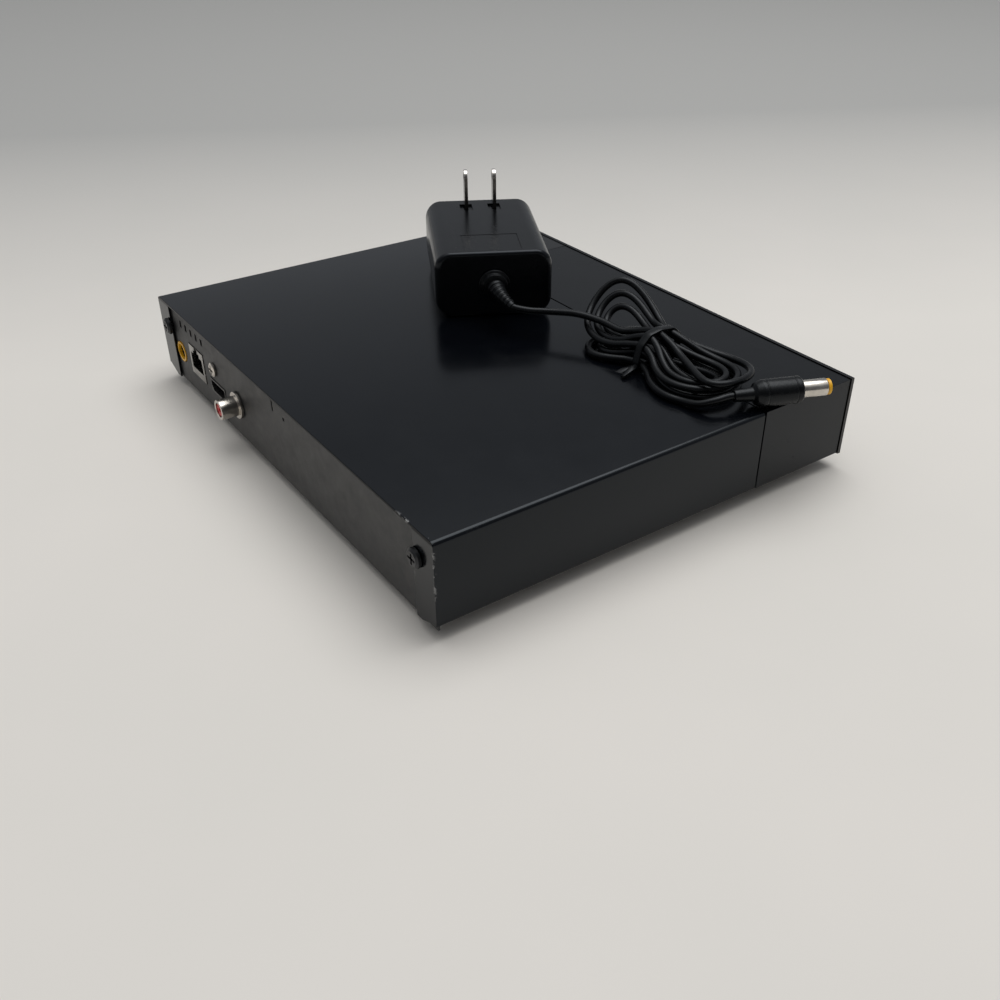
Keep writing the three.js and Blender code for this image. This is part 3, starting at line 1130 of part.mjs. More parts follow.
function plugPieces() {
  const end = plug.bodyLong;
  const shoulder = plug.shoulder;
  piece('plug_body', alongPlug([[0, -plug.neckLong], [plug.neckEnd, -plug.neckLong], [plug.neckRadius, 0],
    [plug.radius - shoulder / 2, shoulder / 2], [plug.radius, 2 * shoulder], [plug.radius, end - shoulder],
    [plug.radius - shoulder / 2, end], [barrel.root + clear, end], [barrel.root + clear, end - barrel.root],
    [0, end - barrel.root]]), 'cordBlack');
  const [from, to] = [end - barrel.root + clear, end + barrel.long];
  piece('plug_barrel', alongPlug([[0, from], [barrel.root, from], [barrel.root, end + clear],
    [barrel.radius, end + clear], [barrel.radius, to], [barrel.bore, to], [barrel.bore, to - barrel.deep],
    [0, to - barrel.deep]]), 'nickel');
  const ring = [[tip.bore, to + clear], [tip.radius, to + clear], [tip.radius, to + tip.long],
    [tip.bore, to + tip.long], [tip.bore, to + clear]];
  piece('plug_tip', alongPlug(ring), 'yellow');
}

// Free stretches: hand-set points between the strain relief, the hank and the plug
function smoothTube(points) {
  const curve = new THREE.CatmullRomCurve3(points, false, 'centripetal');
  const shape = new THREE.Shape(circle(0, 0, cord.radius, cordSides));
  const steps = Math.ceil(curve.getLength() / cord.step);
  return new THREE.ExtrudeGeometry(shape, { steps, extrudePath: curve, bevelEnabled: false });
}

function leadPoints(hankStart) {
  const curve = reliefCurve();
  const end = curve.getPoint(1);
  const ahead = curve.getTangent(1);
  const middle = [[-10.6, -19.8, 48.7], [-16.5, -26.4, 48.6], [-25.5, -33.2, 49.1], [-35.5, -37.6, 48.5]];
  const [p, q] = hankStart;
  const back = p.clone().sub(q).normalize();
  return [end.clone().addScaledVector(ahead, clear), end.clone().addScaledVector(ahead, clear + cord.radius),
    ...middle.map((m) => new THREE.Vector3(...m)),
    p.clone().addScaledVector(back, clear + cord.radius), p.clone().addScaledVector(back, clear)];
}

function tailPoints(hankEnd) {
  const [p, q] = hankEnd;
  const ahead = p.clone().sub(q).normalize();
  const neck = plugPlace.clone().addScaledVector(plugAhead, -plug.neckLong);
  const middle = [[-99.5, -30.6, 41.4], [-103.2, -34.6, 43]];
  return [p.clone().addScaledVector(ahead, clear), p.clone().addScaledVector(ahead, clear + cord.radius),
    ...middle.map((m) => new THREE.Vector3(...m)),
    neck.clone().addScaledVector(plugAhead, -clear - cord.radius),
    neck.clone().addScaledVector(plugAhead, -clear)];
}

function cordPieces() {
  const path = hankPath();
  const radii = path.map(() => cord.radius);
  piece('cord_hank', solid(tube(path, radii, hankSides)), 'cordBlack');
  const gap = leastGap(path, cord.radius);
  console.log(`cord hank: least gap to itself ${gap.toFixed(2)} mm`);
  piece('supply_cord', solid(smoothTube(leadPoints([path[0], path[1]]))), 'cordBlack');
  piece('cord_tail', solid(smoothTube(tailPoints([path.at(-1), path.at(-2)]))), 'cordBlack');
  cordTie();
}

// Twist tie: a flat band round the waist, with two ends laid out on the near side
function cordTie() {
  const outer = hank.middle + hank.pitch * (hank.turns - hankTurnShare.climb);
  const half = outer * (1 - hankShare.squeeze) + cord.radius + tie.asideRoom;
  const low = layerLow + hank.waist.lift - cord.radius - tie.room;
  const high = hankTop + hank.waist.top + 2 * (cord.radius + tie.room);
  const middle = low + high / 2;
  const ring = (grow) => roundedBox(hank.y, middle, 2 * (half + grow), high + 2 * grow, tie.corner + grow);
  const across = around(hank.x, tie.wide / 2);
  const band = cut(prism(ring(tie.thick), across, 'x'), prism(ring(0), widen(across, over), 'x'));
  const edge = hank.y + half + tie.thick / 2;
  const ends = [-1, 1].map((way) => {
    const x = hank.x + way * (tie.wide + tie.tailGap) / 4;
    const tailEnd = middle - tie.tailDrop;
    const outline = [spot(edge, middle - tie.thick), spot(edge + tie.tailLong, tailEnd - tie.thick),
      spot(edge + tie.tailLong, tailEnd), spot(edge, middle)];
    return prism(outline, around(x, (tie.wide - tie.tailGap) / 4), 'x');
  });
  piece('cord_tie', join(band, ...ends), 'cordBlack');
}

topCover();
rearPanel();
bottomChassis();
feet();
rearScrew('cover_screw_right', screwHead, coverScrewAt, 'darkSteel', rear);
rearScrew('cover_screw_left', screwHead, [-coverScrewAt[0], coverScrewAt[1]], 'darkSteel', rear);
rearScrew('hdmi_screw', hdmiScrewHead, hdmiScrewAt, 'nickel', panelOut);
rearJacks();
mainBoard();
frontBezel();
controlBlock();
controls();
loaderFrame();
discTray();
trayFrontDoor();
clamp();
traverseFrame();
spindleParts();
pickupParts();
sledDrive();
camSlider();
loadingDrive();
supplyCase();
supplyInside();
strainRelief();
plugPieces();
cordPieces();

export default player;
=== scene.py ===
import json
import math

import bmesh
import bpy
from mathutils import Matrix, Vector


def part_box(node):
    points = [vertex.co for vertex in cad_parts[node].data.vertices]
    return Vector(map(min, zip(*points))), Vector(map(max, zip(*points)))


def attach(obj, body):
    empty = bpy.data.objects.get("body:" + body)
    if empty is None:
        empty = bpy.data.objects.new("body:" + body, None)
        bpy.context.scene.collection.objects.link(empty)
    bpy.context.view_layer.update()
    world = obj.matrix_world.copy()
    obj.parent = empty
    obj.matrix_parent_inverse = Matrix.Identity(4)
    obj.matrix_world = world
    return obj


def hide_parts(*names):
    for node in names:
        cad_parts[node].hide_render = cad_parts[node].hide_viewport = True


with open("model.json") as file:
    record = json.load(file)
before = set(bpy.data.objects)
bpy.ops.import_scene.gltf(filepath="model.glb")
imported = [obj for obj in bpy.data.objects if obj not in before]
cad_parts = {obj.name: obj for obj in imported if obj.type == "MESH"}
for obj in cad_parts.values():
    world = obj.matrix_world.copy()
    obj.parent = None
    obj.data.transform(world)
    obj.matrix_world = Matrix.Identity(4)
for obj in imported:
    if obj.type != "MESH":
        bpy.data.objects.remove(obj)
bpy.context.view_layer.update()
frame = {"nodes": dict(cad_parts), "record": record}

nodes = frame["nodes"]
scene = bpy.context.scene
scene.view_settings.view_transform = "Standard"

MM = 0.001

# The cover's half width, its rear and its roof, in metres, from the frame
SIDE, REAR, ROOF = (round(place, 4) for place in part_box("top_cover")[1])

# Power supply, in millimetres, with its middle and what it rests on from the frame
case_low, case_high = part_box("adapter_case")
REST = round(case_low.z / MM, 2)
MIDDLE = [round((low + high) / 2 / MM, 2) for low, high in zip(case_low.xy, case_high.xy)]
TURN = math.radians(61.8)
SHELL = dict(wide=49, long=70, high=27.6, corner=7, seam=24.2, gap=0.05, corner_steps=12, curl_steps=6)
SHELL_PLACE = Matrix.Translation((*MIDDLE, REST)) @ Matrix.Rotation(TURN, 4, "Z")

# Camera: the photograph's azimuth, elevation and roll in degrees, and its place in metres
CAMERA = dict(azimuth=233.763, elevation=34.026, roll=0.55, place=(-0.33262, 0.21451, 0.21755), lens=37.836,
              sensor=36, shift=(-0.0294, 0.0155), clip=(0.01, 20))


def make_camera():
    azimuth, elevation, roll = (math.radians(CAMERA[key]) for key in ("azimuth", "elevation", "roll"))
    level = math.cos(elevation)
    back = Vector((math.sin(azimuth) * level, -math.cos(azimuth) * level, math.sin(elevation)))
    right = Vector((math.cos(azimuth), math.sin(azimuth), 0))
    turn = Matrix((right, back.cross(right), back)).transposed() @ Matrix.Rotation(roll, 3, "Z")
    data = bpy.data.cameras.new("camera")
    data.lens = CAMERA["lens"]
    data.sensor_width = CAMERA["sensor"]
    data.shift_x, data.shift_y = CAMERA["shift"]
    data.clip_start, data.clip_end = CAMERA["clip"]
    scene.camera = linked("camera", data)
    scene.camera.matrix_world = Matrix.Translation(CAMERA["place"]) @ turn.to_4x4()


# Cord, in millimetres: the strain relief's end, the lead, the hank and the tail in one line
CORD = dict(radius=1.4, step=1.1, relief_steps=20, rounds=4)
EXIT = SHELL_PLACE @ Vector((0, SHELL["long"] / 2, SHELL["high"] / 2))
OUTWARD = Vector((-math.sin(TURN), math.cos(TURN), 0))
ASIDE = Vector((-math.cos(TURN), -math.sin(TURN), 0))
RELIEF = dict(root=1, bend=9.4, ahead=17, aside=5.6, drop=3.1)
LEAD = ((-10.6, -19.8, 48.7), (-16.5, -26.4, 48.6), (-25.5, -33.2, 49.1), (-35.5, -37.6, 48.5))
TAIL = ((-99.5, -30.6, 41.4), (-103.2, -34.6, 43))
HANK = dict(x=-61.7, y=-44.3, turns=3, pitch=4.4, layer=3.5, middle=2, entry_long=16, entry_aside=5)
LOBES = {
    "high": dict(reach=30.3, reach_step=4.05, bulge=7.9, bulge_step=-0.05, fan=-2.05, lift=14.15,
                 lift_step=9.6),
    "low": dict(reach=21.75, reach_step=3.45, bulge=10.45, bulge_step=3.15, fan=-0.85, lift=0, lift_step=0),
    "right": dict(reach=29.5, reach_step=4.05, bulge=11, bulge_step=2.3, fan=-1.55, lift=0, lift_step=0),
}
WAIST = dict(half=11, lift=1.1, stagger=2.9, upper=2.8, top=2.9)
TURN_SHARE = dict(end=0.14, climb=0.5, entering=0.294, settle_from=0.2, settle_long=0.26)
HANK_SHARE = dict(waist=0.34, squeeze=0.32, stagger=0.5)
LIFT_POWER = 2.05
ENTRY_STEPS = 4
TURN_STEPS = 36
HANK_TOP = 2 * HANK["layer"]
LOW = REST + CORD["radius"]
PLUG_RADIUS = 5
PLUG = Vector((-108.4, -47.9, REST + PLUG_RADIUS))
PLUG_TURN = math.radians(-113)
PLUG_AHEAD = Vector((math.cos(PLUG_TURN), math.sin(PLUG_TURN), 0))
NECK = dict(long=7, before=1.7, inside=2)


def smooth(share):
    x = min(max(share, 0), 1)
    return x * x * (3 - 2 * x)


def mix(a, b, share):
    return a + (b - a) * share


def hank_spot(along, aside, level, held):
    tight = math.exp(-((along / WAIST["half"]) ** 2))
    rise = LOW + level + tight * (WAIST["lift"] + held)
    return Vector((HANK["x"] + along, HANK["y"] + aside * (1 - HANK_SHARE["squeeze"] * tight), rise))


def staggered(ring):
    """At the waist every second strand lies higher than its neighbours."""
    share = HANK_SHARE["stagger"]
    return smooth((ring - share) / share) * (1 - smooth((ring - 1) / share - 1))


def hank_loops(turn):
    """The upper layer spirals in, and the lower one spirals out."""
    turns = HANK["turns"]
    angle = math.pi / 2 + 2 * math.pi * turn
    c, s = math.cos(angle), math.sin(angle)
    ring = max(turns - turn, turn - turns - TURN_SHARE["climb"], 0)
    upper = 1 - smooth((turn - turns) / TURN_SHARE["climb"])

    def form(key):
        return mix(LOBES["low"][key], LOBES["high"][key], upper) if c > 0 else LOBES["right"][key]

    reach = form("reach") + form("reach_step") * ring
    bulge = (form("bulge") + form("bulge_step") * ring) * c * c / math.hypot(c, HANK_SHARE["waist"])
    aside = s * (HANK["middle"] + HANK["pitch"] * ring + bulge) + form("fan") * c * c
    lifted = upper * (form("lift") + form("lift_step") * ring) * c * c * ((1 - s) / 2) ** LIFT_POWER
    settling = smooth((turn - TURN_SHARE["settle_from"]) / TURN_SHARE["settle_long"])
    level = mix(HANK_TOP, upper * HANK["layer"], settling)
    held = mix(WAIST["top"], WAIST["stagger"] * staggered(ring) + WAIST["upper"] * upper, settling)
    return hank_spot(reach * c, mix(0, aside, smooth(turn / TURN_SHARE["entering"])), level + lifted, held)


def hank_path():
    points = []
    for i in range(ENTRY_STEPS):
        share = 1 - i / ENTRY_STEPS
        along, aside = HANK["entry_long"] * share, HANK["entry_aside"] * share ** 2
        points.append(hank_spot(along, aside, HANK_TOP, WAIST["top"]))
    total = 2 * HANK["turns"] + TURN_SHARE["end"]
    steps = round(total * TURN_STEPS)
    return points + [hank_loops(total * i / steps) for i in range(steps + 1)]


def relief_path(steps):
    start, bend = EXIT - OUTWARD * RELIEF["root"], EXIT + OUTWARD * RELIEF["bend"]
    end = EXIT + OUTWARD * RELIEF["ahead"] + ASIDE * RELIEF["aside"] - Vector((0, 0, RELIEF["drop"]))
    shares = [i / steps for i in range(steps + 1)]
    return [start * (1 - t) ** 2 + bend * 2 * t * (1 - t) + end * t * t for t in shares]


def through(points, step):
    """Points about one step apart on a centripetal curve through the given ones."""
    line = [points[0] * 2 - points[1], *points, points[-1] * 2 - points[-2]]
    path = []
    for a, b, c, d in zip(line, line[1:], line[2:], line[3:]):
        first, middle, last = ((q - p).length ** 0.5 for p, q in ((a, b), (b, c), (c, d)))
        t1, t2 = first, first + middle
        t3 = t2 + last
        count = max(2, math.ceil((c - b).length / step))
        for i in range(count):
            t = mix(t1, t2, i / count)
            p = a.lerp(b, t / t1)
            q = b.lerp(c, (t - t1) / middle)
            r = c.lerp(d, (t - t2) / last)
            near = p.lerp(q, t / t2)
            far = q.lerp(r, (t - t1) / (t3 - t1))
            path.append(near.lerp(far, (t - t1) / middle))
    return path + [points[-1]]


def cord_path():
    relief = relief_path(CORD["relief_steps"])
    neck = PLUG - PLUG_AHEAD * NECK["long"]
    ends = [neck - PLUG_AHEAD * NECK["before"], neck + PLUG_AHEAD * NECK["inside"]]
    lead, tail = ([Vector(spot) for spot in spots] for spots in (LEAD, TAIL))
    return through([relief[-3], relief[-1], *lead, *hank_path(), *tail, *ends], CORD["step"])


# Meshes and curves, with the angles in degrees from which their edges are sharp
SHARP = dict(plain=32, relief=60, plug=40, tie=40)


def linked(name, data):
    made = bpy.data.objects.new(name, data)
    scene.collection.objects.link(made)
    return made


def cord_piece(name, points):
    data = bpy.data.curves.new(name, "CURVE")
    data.dimensions = "3D"
    data.bevel_depth = CORD["radius"] * MM
    data.bevel_resolution = CORD["rounds"]
    data.use_fill_caps = True
    spline = data.splines.new("POLY")
    spline.points.add(len(points) - 1)
    for spot, p in zip(spline.points, points):
        spot.co = (*(p * MM), 1)
    spline.use_smooth = True
    return linked(name, data)


def mesh_piece(name, bm, sharp=SHARP["plain"]):
    """A mesh object from bm, smooth but for edges sharper than the angle."""
    bmesh.ops.recalc_face_normals(bm, faces=bm.faces)
    data = bpy.data.meshes.new(name)
    for face in bm.faces:
        face.smooth = True
    for edge in bm.edges:
        edge.smooth = len(edge.link_faces) == 2 and edge.calc_face_angle() < math.radians(sharp)
    bm.to_mesh(data)
    bm.free()
    return linked(name, data)


def skin(bm, rings, ends=(0, -1)):
    """Faces from each ring to the next and across the rings at the ends; a ring of one point is a tip."""
    for near, far in zip(rings, rings[1:]):
        n, f = len(near), len(far)
        for k in range(max(n, f)):
            corners = (near[(k - 1) % n], near[k % n], far[k % f], far[(k - 1) % f])
            bm.faces.new(list(dict.fromkeys(corners)))
    for end in ends:
        bm.faces.new(rings[end])


def round_ring(bm, centre, across, up, radius, sides):
    """A ring of points round the centre, in millimetres, or the centre alone where the radius is 0."""
    turns = (2 * math.pi * k / sides for k in range(sides if radius else 1))
    return [bm.verts.new((centre + (across * math.cos(t) + up * math.sin(t)) * radius) * MM) for t in turns]


def tube(bm, points, radii, sides):
    """A closed tube through the points, in millimetres, with a radius at each."""
    across, rings = None, []
    for i, p in enumerate(points):
        ahead = (points[min(i + 1, len(points) - 1)] - points[max(i - 1, 0)]).normalized()
        across = across or Vector((0, 0, 1)).cross(ahead).normalized()
        across = (across - ahead * across.dot(ahead)).normalized()
        rings.append(round_ring(bm, p, across, ahead.cross(across), radii[i], sides))
    skin(bm, rings)


def turned(bm, profile, place, ahead, sides):
    """A solid turned round a line: profile holds (along, radius) in millimetres, from axis to axis."""
    across = ahead.orthogonal().normalized()
    up = ahead.cross(across)
    rings = [round_ring(bm, place + ahead * along, across, up, radius, sides) for along, radius in profile]
    skin(bm, rings, ends=())


def eased(profile, radius, steps=3, share=0.45):
    """The profile with each inner corner rounded by the radius, or by the share of a side that is shorter."""
    line = [Vector((*p, 0)) for p in profile]
    made = [line[0]]
    for before, corner, after in zip(line, line[1:], line[2:]):
        a, b = (corner + (end - corner).normalized() * min(radius, (end - corner).length * share)
                for end in (before, after))
        made += [a.lerp(corner, t).lerp(corner.lerp(b, t), t) for t in (i / steps for i in range(steps + 1))]
    return [(p.x, p.y) for p in made + [line[-1]]]


# Shaders
def link(tree, source, target):
    tree.links.new(source, target)


def node(tree, kind, **settings):
    made = tree.nodes.new(kind)
    for name, value in settings.items():
        setattr(made, name, value)
    return made


def place_in(tree, kind="Object"):
    return node(tree, "ShaderNodeTexCoord").outputs[kind]


def parts(tree, vector):
    made = node(tree, "ShaderNodeSeparateXYZ")
    link(tree, vector, made.inputs[0])
    return made.outputs


def measured(tree, vector, operation, other):
    """The distance to the other vector, or the dot product with it."""
    made = node(tree, "ShaderNodeVectorMath", operation=operation)
    link(tree, vector, made.inputs[0])
    if isinstance(other, tuple):
        made.inputs[1].default_value = other
    else:
        link(tree, other, made.inputs[1])
    return made.outputs["Value"]


def product(tree, first, second):
    made = node(tree, "ShaderNodeMath", operation="MULTIPLY")
    link(tree, first, made.inputs[0])
    link(tree, second, made.inputs[1])
    return made.outputs[0]


def noise(tree, scale, detail=3.0, rough=0.5, stretch=(1, 1, 1)):
    """Noise in the object's own coordinates; scale is in features to a metre."""
    spread = node(tree, "ShaderNodeMapping")
    spread.inputs["Scale"].default_value = stretch
    made = node(tree, "ShaderNodeTexNoise")
    made.inputs["Scale"].default_value = scale
    made.inputs["Detail"].default_value = detail
    made.inputs["Roughness"].default_value = rough
    link(tree, place_in(tree), spread.inputs["Vector"])
    link(tree, spread.outputs["Vector"], made.inputs["Vector"])
    return made.outputs["Fac"]


def ranged(tree, value, low, high, out_low=0, out_high=1):
    made = node(tree, "ShaderNodeMapRange")
    for name, number in (("From Min", low), ("From Max", high), ("To Min", out_low), ("To Max", out_high)):
        made.inputs[name].default_value = number
    link(tree, value, made.inputs["Value"])
    return made.outputs["Result"]


def blended(tree, share, first, second):
    made = node(tree, "ShaderNodeMix", data_type="RGBA")
    for slot, value in ((6, first), (7, second)):
        if isinstance(value, tuple):
            made.inputs[slot].default_value = (*value, 1)
        else:
            link(tree, value, made.inputs[slot])
    link(tree, share, made.inputs[0])
    return made.outputs[2]


# Paint chips: bare metal on edges, only round the cover's rear left corner
CHIP = dict(bare=(0.3, 0.3, 0.295), rough=0.45, amount=0.45, soft=0.02, edge=0.0014, reach=0.024,
            whole_share=0.7)
CHIP_NOISE = dict(scale=330, detail=6, rough=0.7)
EDGE_BEND = (0.985, 0.9)


def edge_mask(tree, radius):
    """1 on convex and concave edges, 0 on flats."""
    bevel = node(tree, "ShaderNodeBevel", samples=6)
    bevel.inputs["Radius"].default_value = radius
    flat = node(tree, "ShaderNodeNewGeometry")
    alike = measured(tree, bevel.outputs["Normal"], "DOT_PRODUCT", flat.outputs["Normal"])
    return ranged(tree, alike, *EDGE_BEND)


def chipped(tree, paint, roughness):
    """The paint and its roughness with bare spots."""
    least = 1 - CHIP["amount"]
    spots = ranged(tree, noise(tree, **CHIP_NOISE), least, least + CHIP["soft"])
    away = measured(tree, place_in(tree), "DISTANCE", (-SIDE, REAR, ROOF))
    near = ranged(tree, away, CHIP["reach"] * CHIP["whole_share"], CHIP["reach"], 1, 0)
    mask = product(tree, edge_mask(tree, CHIP["edge"]), product(tree, spots, near))
    rougher = node(tree, "ShaderNodeMix")
    link(tree, mask, rougher.inputs[0])
    link(tree, roughness, rougher.inputs[2])
    rougher.inputs[3].default_value = CHIP["rough"]
    return blended(tree, mask, paint, CHIP["bare"]), rougher.outputs[0]


# Finishes: the patches of colour, the finer ones of roughness, and the grain, in features to a metre
PATCHES = dict(detail=4, rough=0.6)
PATCHES_RANGE = (0.35, 0.65)
FINER = dict(detail=5, rough=0.65)
FINER_RANGE = (0.3, 0.7)
FINER_TIMES = 3.1
GRAIN = dict(detail=2, rough=0.5)


def finish_of(name, colour, second, rough, metal=0.0, patches=25, grain=0, grain_high=0.0, spread=0.06,
              specular=0.5, coat=0.0, stretch=(1, 1, 1), chips=False, tint=(1, 1, 1)):
    """A material whose colour and roughness drift over the surface, with a fine grain raised by bump."""
    made = bpy.data.materials.new(name)
    made.use_nodes = True
    tree = made.node_tree
    shader = tree.nodes["Principled BSDF"]
    shader.inputs["Metallic"].default_value = metal
    shader.inputs["Specular IOR Level"].default_value = specular
    shader.inputs["Coat Weight"].default_value = coat
    shader.inputs["Specular Tint"].default_value = (*tint, 1)
    drift = noise(tree, patches, stretch=stretch, **PATCHES)
    paint = blended(tree, ranged(tree, drift, *PATCHES_RANGE), colour, second)
    finer = noise(tree, patches * FINER_TIMES, stretch=stretch, **FINER)
    roughness = ranged(tree, finer, *FINER_RANGE, rough - spread, rough + spread)
    if chips:
        paint, roughness = chipped(tree, paint, roughness)
    link(tree, paint, shader.inputs["Base Color"])
    link(tree, roughness, shader.inputs["Roughness"])
    if grain:
        bump = node(tree, "ShaderNodeBump")
        bump.inputs["Strength"].default_value = 1
        bump.inputs["Distance"].default_value = grain_high
        link(tree, noise(tree, grain, stretch=stretch, **GRAIN), bump.inputs["Height"])
        link(tree, bump.outputs["Normal"], shader.inputs["Normal"])
    return made


FINISHES = {
    "black_paint": dict(colour=(0.001, 0.0014, 0.0024), second=(0.0016, 0.0021, 0.0034), rough=0.18,
                        patches=18, grain=3200, grain_high=0.000005, spread=0.03, specular=0.31, chips=True,
                        tint=(0.84, 0.92, 1)),
    "rear_paint": dict(colour=(0.021, 0.0216, 0.0224), second=(0.03, 0.0308, 0.0318), rough=0.5, patches=60,
                       grain=2600, grain_high=0.00003, chips=True),
    "black_plastic": dict(colour=(0.0014, 0.0016, 0.002), second=(0.0024, 0.0027, 0.0033), rough=0.24,
                          patches=50, grain=2400, grain_high=0.000006, spread=0.04, specular=0.28,
                          tint=(0.82, 0.9, 1)),
    "gloss_plastic": dict(colour=(0.0015, 0.0016, 0.002), second=(0.0026, 0.0028, 0.0033), rough=0.17,
                          patches=30, grain=1500, grain_high=0.000002, spread=0.04, specular=0.4, coat=0.1),
    "cord_black": dict(colour=(0.001, 0.0012, 0.0016), second=(0.0024, 0.0027, 0.0032), rough=0.3,
                       patches=300, grain=2200, grain_high=0.00003, spread=0.07, specular=0.26,
                       tint=(0.9, 0.95, 1)),
    "rubber": dict(colour=(0.016, 0.016, 0.017), second=(0.03, 0.03, 0.031), rough=0.72, patches=300,
                   grain=2600, grain_high=0.00003),
    "yellow_plastic": dict(colour=(0.9, 0.5, 0.012), second=(0.76, 0.37, 0.008), rough=0.4, patches=500,
                           grain=2400, grain_high=0.000008),
    "red_plastic": dict(colour=(0.72, 0.028, 0.03), second=(0.56, 0.016, 0.02), rough=0.34, patches=500,
                        grain=2400, grain_high=0.000008),
    "white_plastic": dict(colour=(0.72, 0.71, 0.68), second=(0.62, 0.61, 0.57), rough=0.42, patches=180,
                          grain=2000, grain_high=0.00001),
    "lens_glass": dict(colour=(0.06, 0.09, 0.2), second=(0.1, 0.07, 0.24), rough=0.06, patches=300, coat=0.6,
                       spread=0.03),
    "board_green": dict(colour=(0.012, 0.075, 0.03), second=(0.02, 0.12, 0.05), rough=0.34, patches=420,
                        grain=900, grain_high=0.00001, spread=0.08),
    "chip_black": dict(colour=(0.018, 0.018, 0.019), second=(0.03, 0.03, 0.031), rough=0.5, patches=200,
                       grain=3000, grain_high=0.00001),
    "steel": dict(colour=(0.5, 0.51, 0.52), second=(0.38, 0.39, 0.4), rough=0.36, metal=1.0, patches=160,
                  grain=1800, grain_high=0.000004, spread=0.09),
    "dark_steel": dict(colour=(0.05, 0.051, 0.054), second=(0.028, 0.029, 0.031), rough=0.34, metal=0.7,
                       patches=240, grain=2600, grain_high=0.00001, spread=0.08),
    "aluminium": dict(colour=(0.7, 0.71, 0.72), second=(0.55, 0.56, 0.58), rough=0.3, metal=1.0, patches=120,
                      grain=1600, grain_high=0.000006, spread=0.08, stretch=(1, 12, 1)),
    "nickel": dict(colour=(0.66, 0.62, 0.56), second=(0.5, 0.47, 0.43), rough=0.2, metal=1.0, patches=220,
                   grain=2600, grain_high=0.000003, spread=0.07),
    # The network and HDMI jacks' nickel, darkened as painted shade for the shade and dark reflections in
    # their shells
    "port_frame_shaded": dict(colour=(0.34, 0.33, 0.31), second=(0.2, 0.195, 0.185), rough=0.24, metal=1.0,
                       patches=260, grain=2600, grain_high=0.000004, spread=0.08),
    "port_shaded_dark": dict(colour=(0.045, 0.045, 0.047), second=(0.09, 0.088, 0.085), rough=0.3, metal=0.8,
                      patches=400, grain=2600, grain_high=0.000004, spread=0.08),
    # The plug's blades: nickel painted dark as shade, lightened towards the tips further on as a painted
    # highlight
    "blade_shaded_nickel": dict(colour=(0.06, 0.058, 0.055), second=(0.1, 0.095, 0.09), rough=0.2, metal=1.0,
                          patches=300, grain=2600, grain_high=0.000003, spread=0.05),
}
LOOKS = {name: finish_of(name, **finish) for name, finish in FINISHES.items()}
OWN_LOOK = {"lan_jack": "port_frame_shaded", "hdmi_jack": "port_shaded_dark", "blade_left": "blade_shaded_nickel",
            "blade_right": "blade_shaded_nickel"}
# Painted shade: where the cover's rear cut edge loses its gloss, and the gloss left there
RIM_SHADE = dict(rear=(0.0003, 0.0001), below=(0.0014, 0.001), specular=0.06)
# Painted highlight: the share of the blades' height over which it comes in, and its colour
BLADE_TIP_HIGHLIGHT = dict(share=(0.86, 0.93), colour=(0.75, 0.72, 0.68))


def painted_rim_shade(made):
    """Takes the gloss off the cover's cut edge at the rear: painted shade, so the edge reads dark like the
    shaded seam under it.
    """
    tree = made.node_tree
    spot = parts(tree, place_in(tree))
    rear = ranged(tree, spot["Y"], *(REAR - inset for inset in RIM_SHADE["rear"]))
    high = ranged(tree, spot["Z"], *(ROOF - below for below in RIM_SHADE["below"]))
    specular = tree.nodes["Principled BSDF"].inputs["Specular IOR Level"]
    gloss = ranged(tree, product(tree, rear, high), 0, 1, specular.default_value, RIM_SHADE["specular"])
    link(tree, gloss, specular)


def paint_tip_highlight(made):
    """Paints the blades bright at their tips: a painted highlight over the painted shade of the plating."""
    tree = made.node_tree
    colour = tree.nodes["Principled BSDF"].inputs["Base Color"]
    tip = ranged(tree, parts(tree, place_in(tree, "Generated"))["Z"], *BLADE_TIP_HIGHLIGHT["share"])
    link(tree, blended(tree, tip, colour.links[0].from_socket, BLADE_TIP_HIGHLIGHT["colour"]), colour)


def dress(piece, slot, look=None):
    if piece.type == "MESH":
        piece.data.materials.clear()
    piece.data.materials.append(LOOKS[look or slot])
    return piece


# CAD nodes: merged corners, smooth rounds and a fine broken edge, in millimetres
MERGE = 0.002
ROUND_ANGLE = 34
FLAT_ANGLE = 0.6
EDGE = 0.15
EDGES = {"top_cover": 0.22, "front_bezel": 0.12, "control_block": 0.12, "front_plate": 0.06,
         "rear_panel": 0.1, "bottom_chassis": 0.2}
FINE = ("lan_jack", "hdmi_jack", "hdmi_screw", "cover_screw_left", "cover_screw_right", "usb_port")


def even_group():
    """Drops the imported normals, merges the corners and shades by angle."""
    group = bpy.data.node_groups.new("even", "GeometryNodeTree")
    for way in ("INPUT", "OUTPUT"):
        group.interface.new_socket("Geometry", in_out=way, socket_type="NodeSocketGeometry")
    start, end = node(group, "NodeGroupInput"), node(group, "NodeGroupOutput")
    plain = node(group, "GeometryNodeRemoveAttribute")
    plain.inputs["Name"].default_value = "custom_normal"
    merge = node(group, "GeometryNodeMergeByDistance")
    merge.inputs["Distance"].default_value = MERGE * MM
    faces = node(group, "GeometryNodeSetShadeSmooth")
    edges = node(group, "GeometryNodeSetShadeSmooth", domain="EDGE")
    angle = node(group, "GeometryNodeInputMeshEdgeAngle")
    compare = node(group, "FunctionNodeCompare", operation="LESS_THAN")
    compare.inputs[1].default_value = math.radians(ROUND_ANGLE)
    line = [start, plain, merge, faces, edges, end]
    for a, b in zip(line, line[1:]):
        link(group, a.outputs[0], b.inputs[0])
    link(group, angle.outputs["Unsigned Angle"], compare.inputs[0])
    link(group, compare.outputs[0], edges.inputs["Shade Smooth"])
    return group


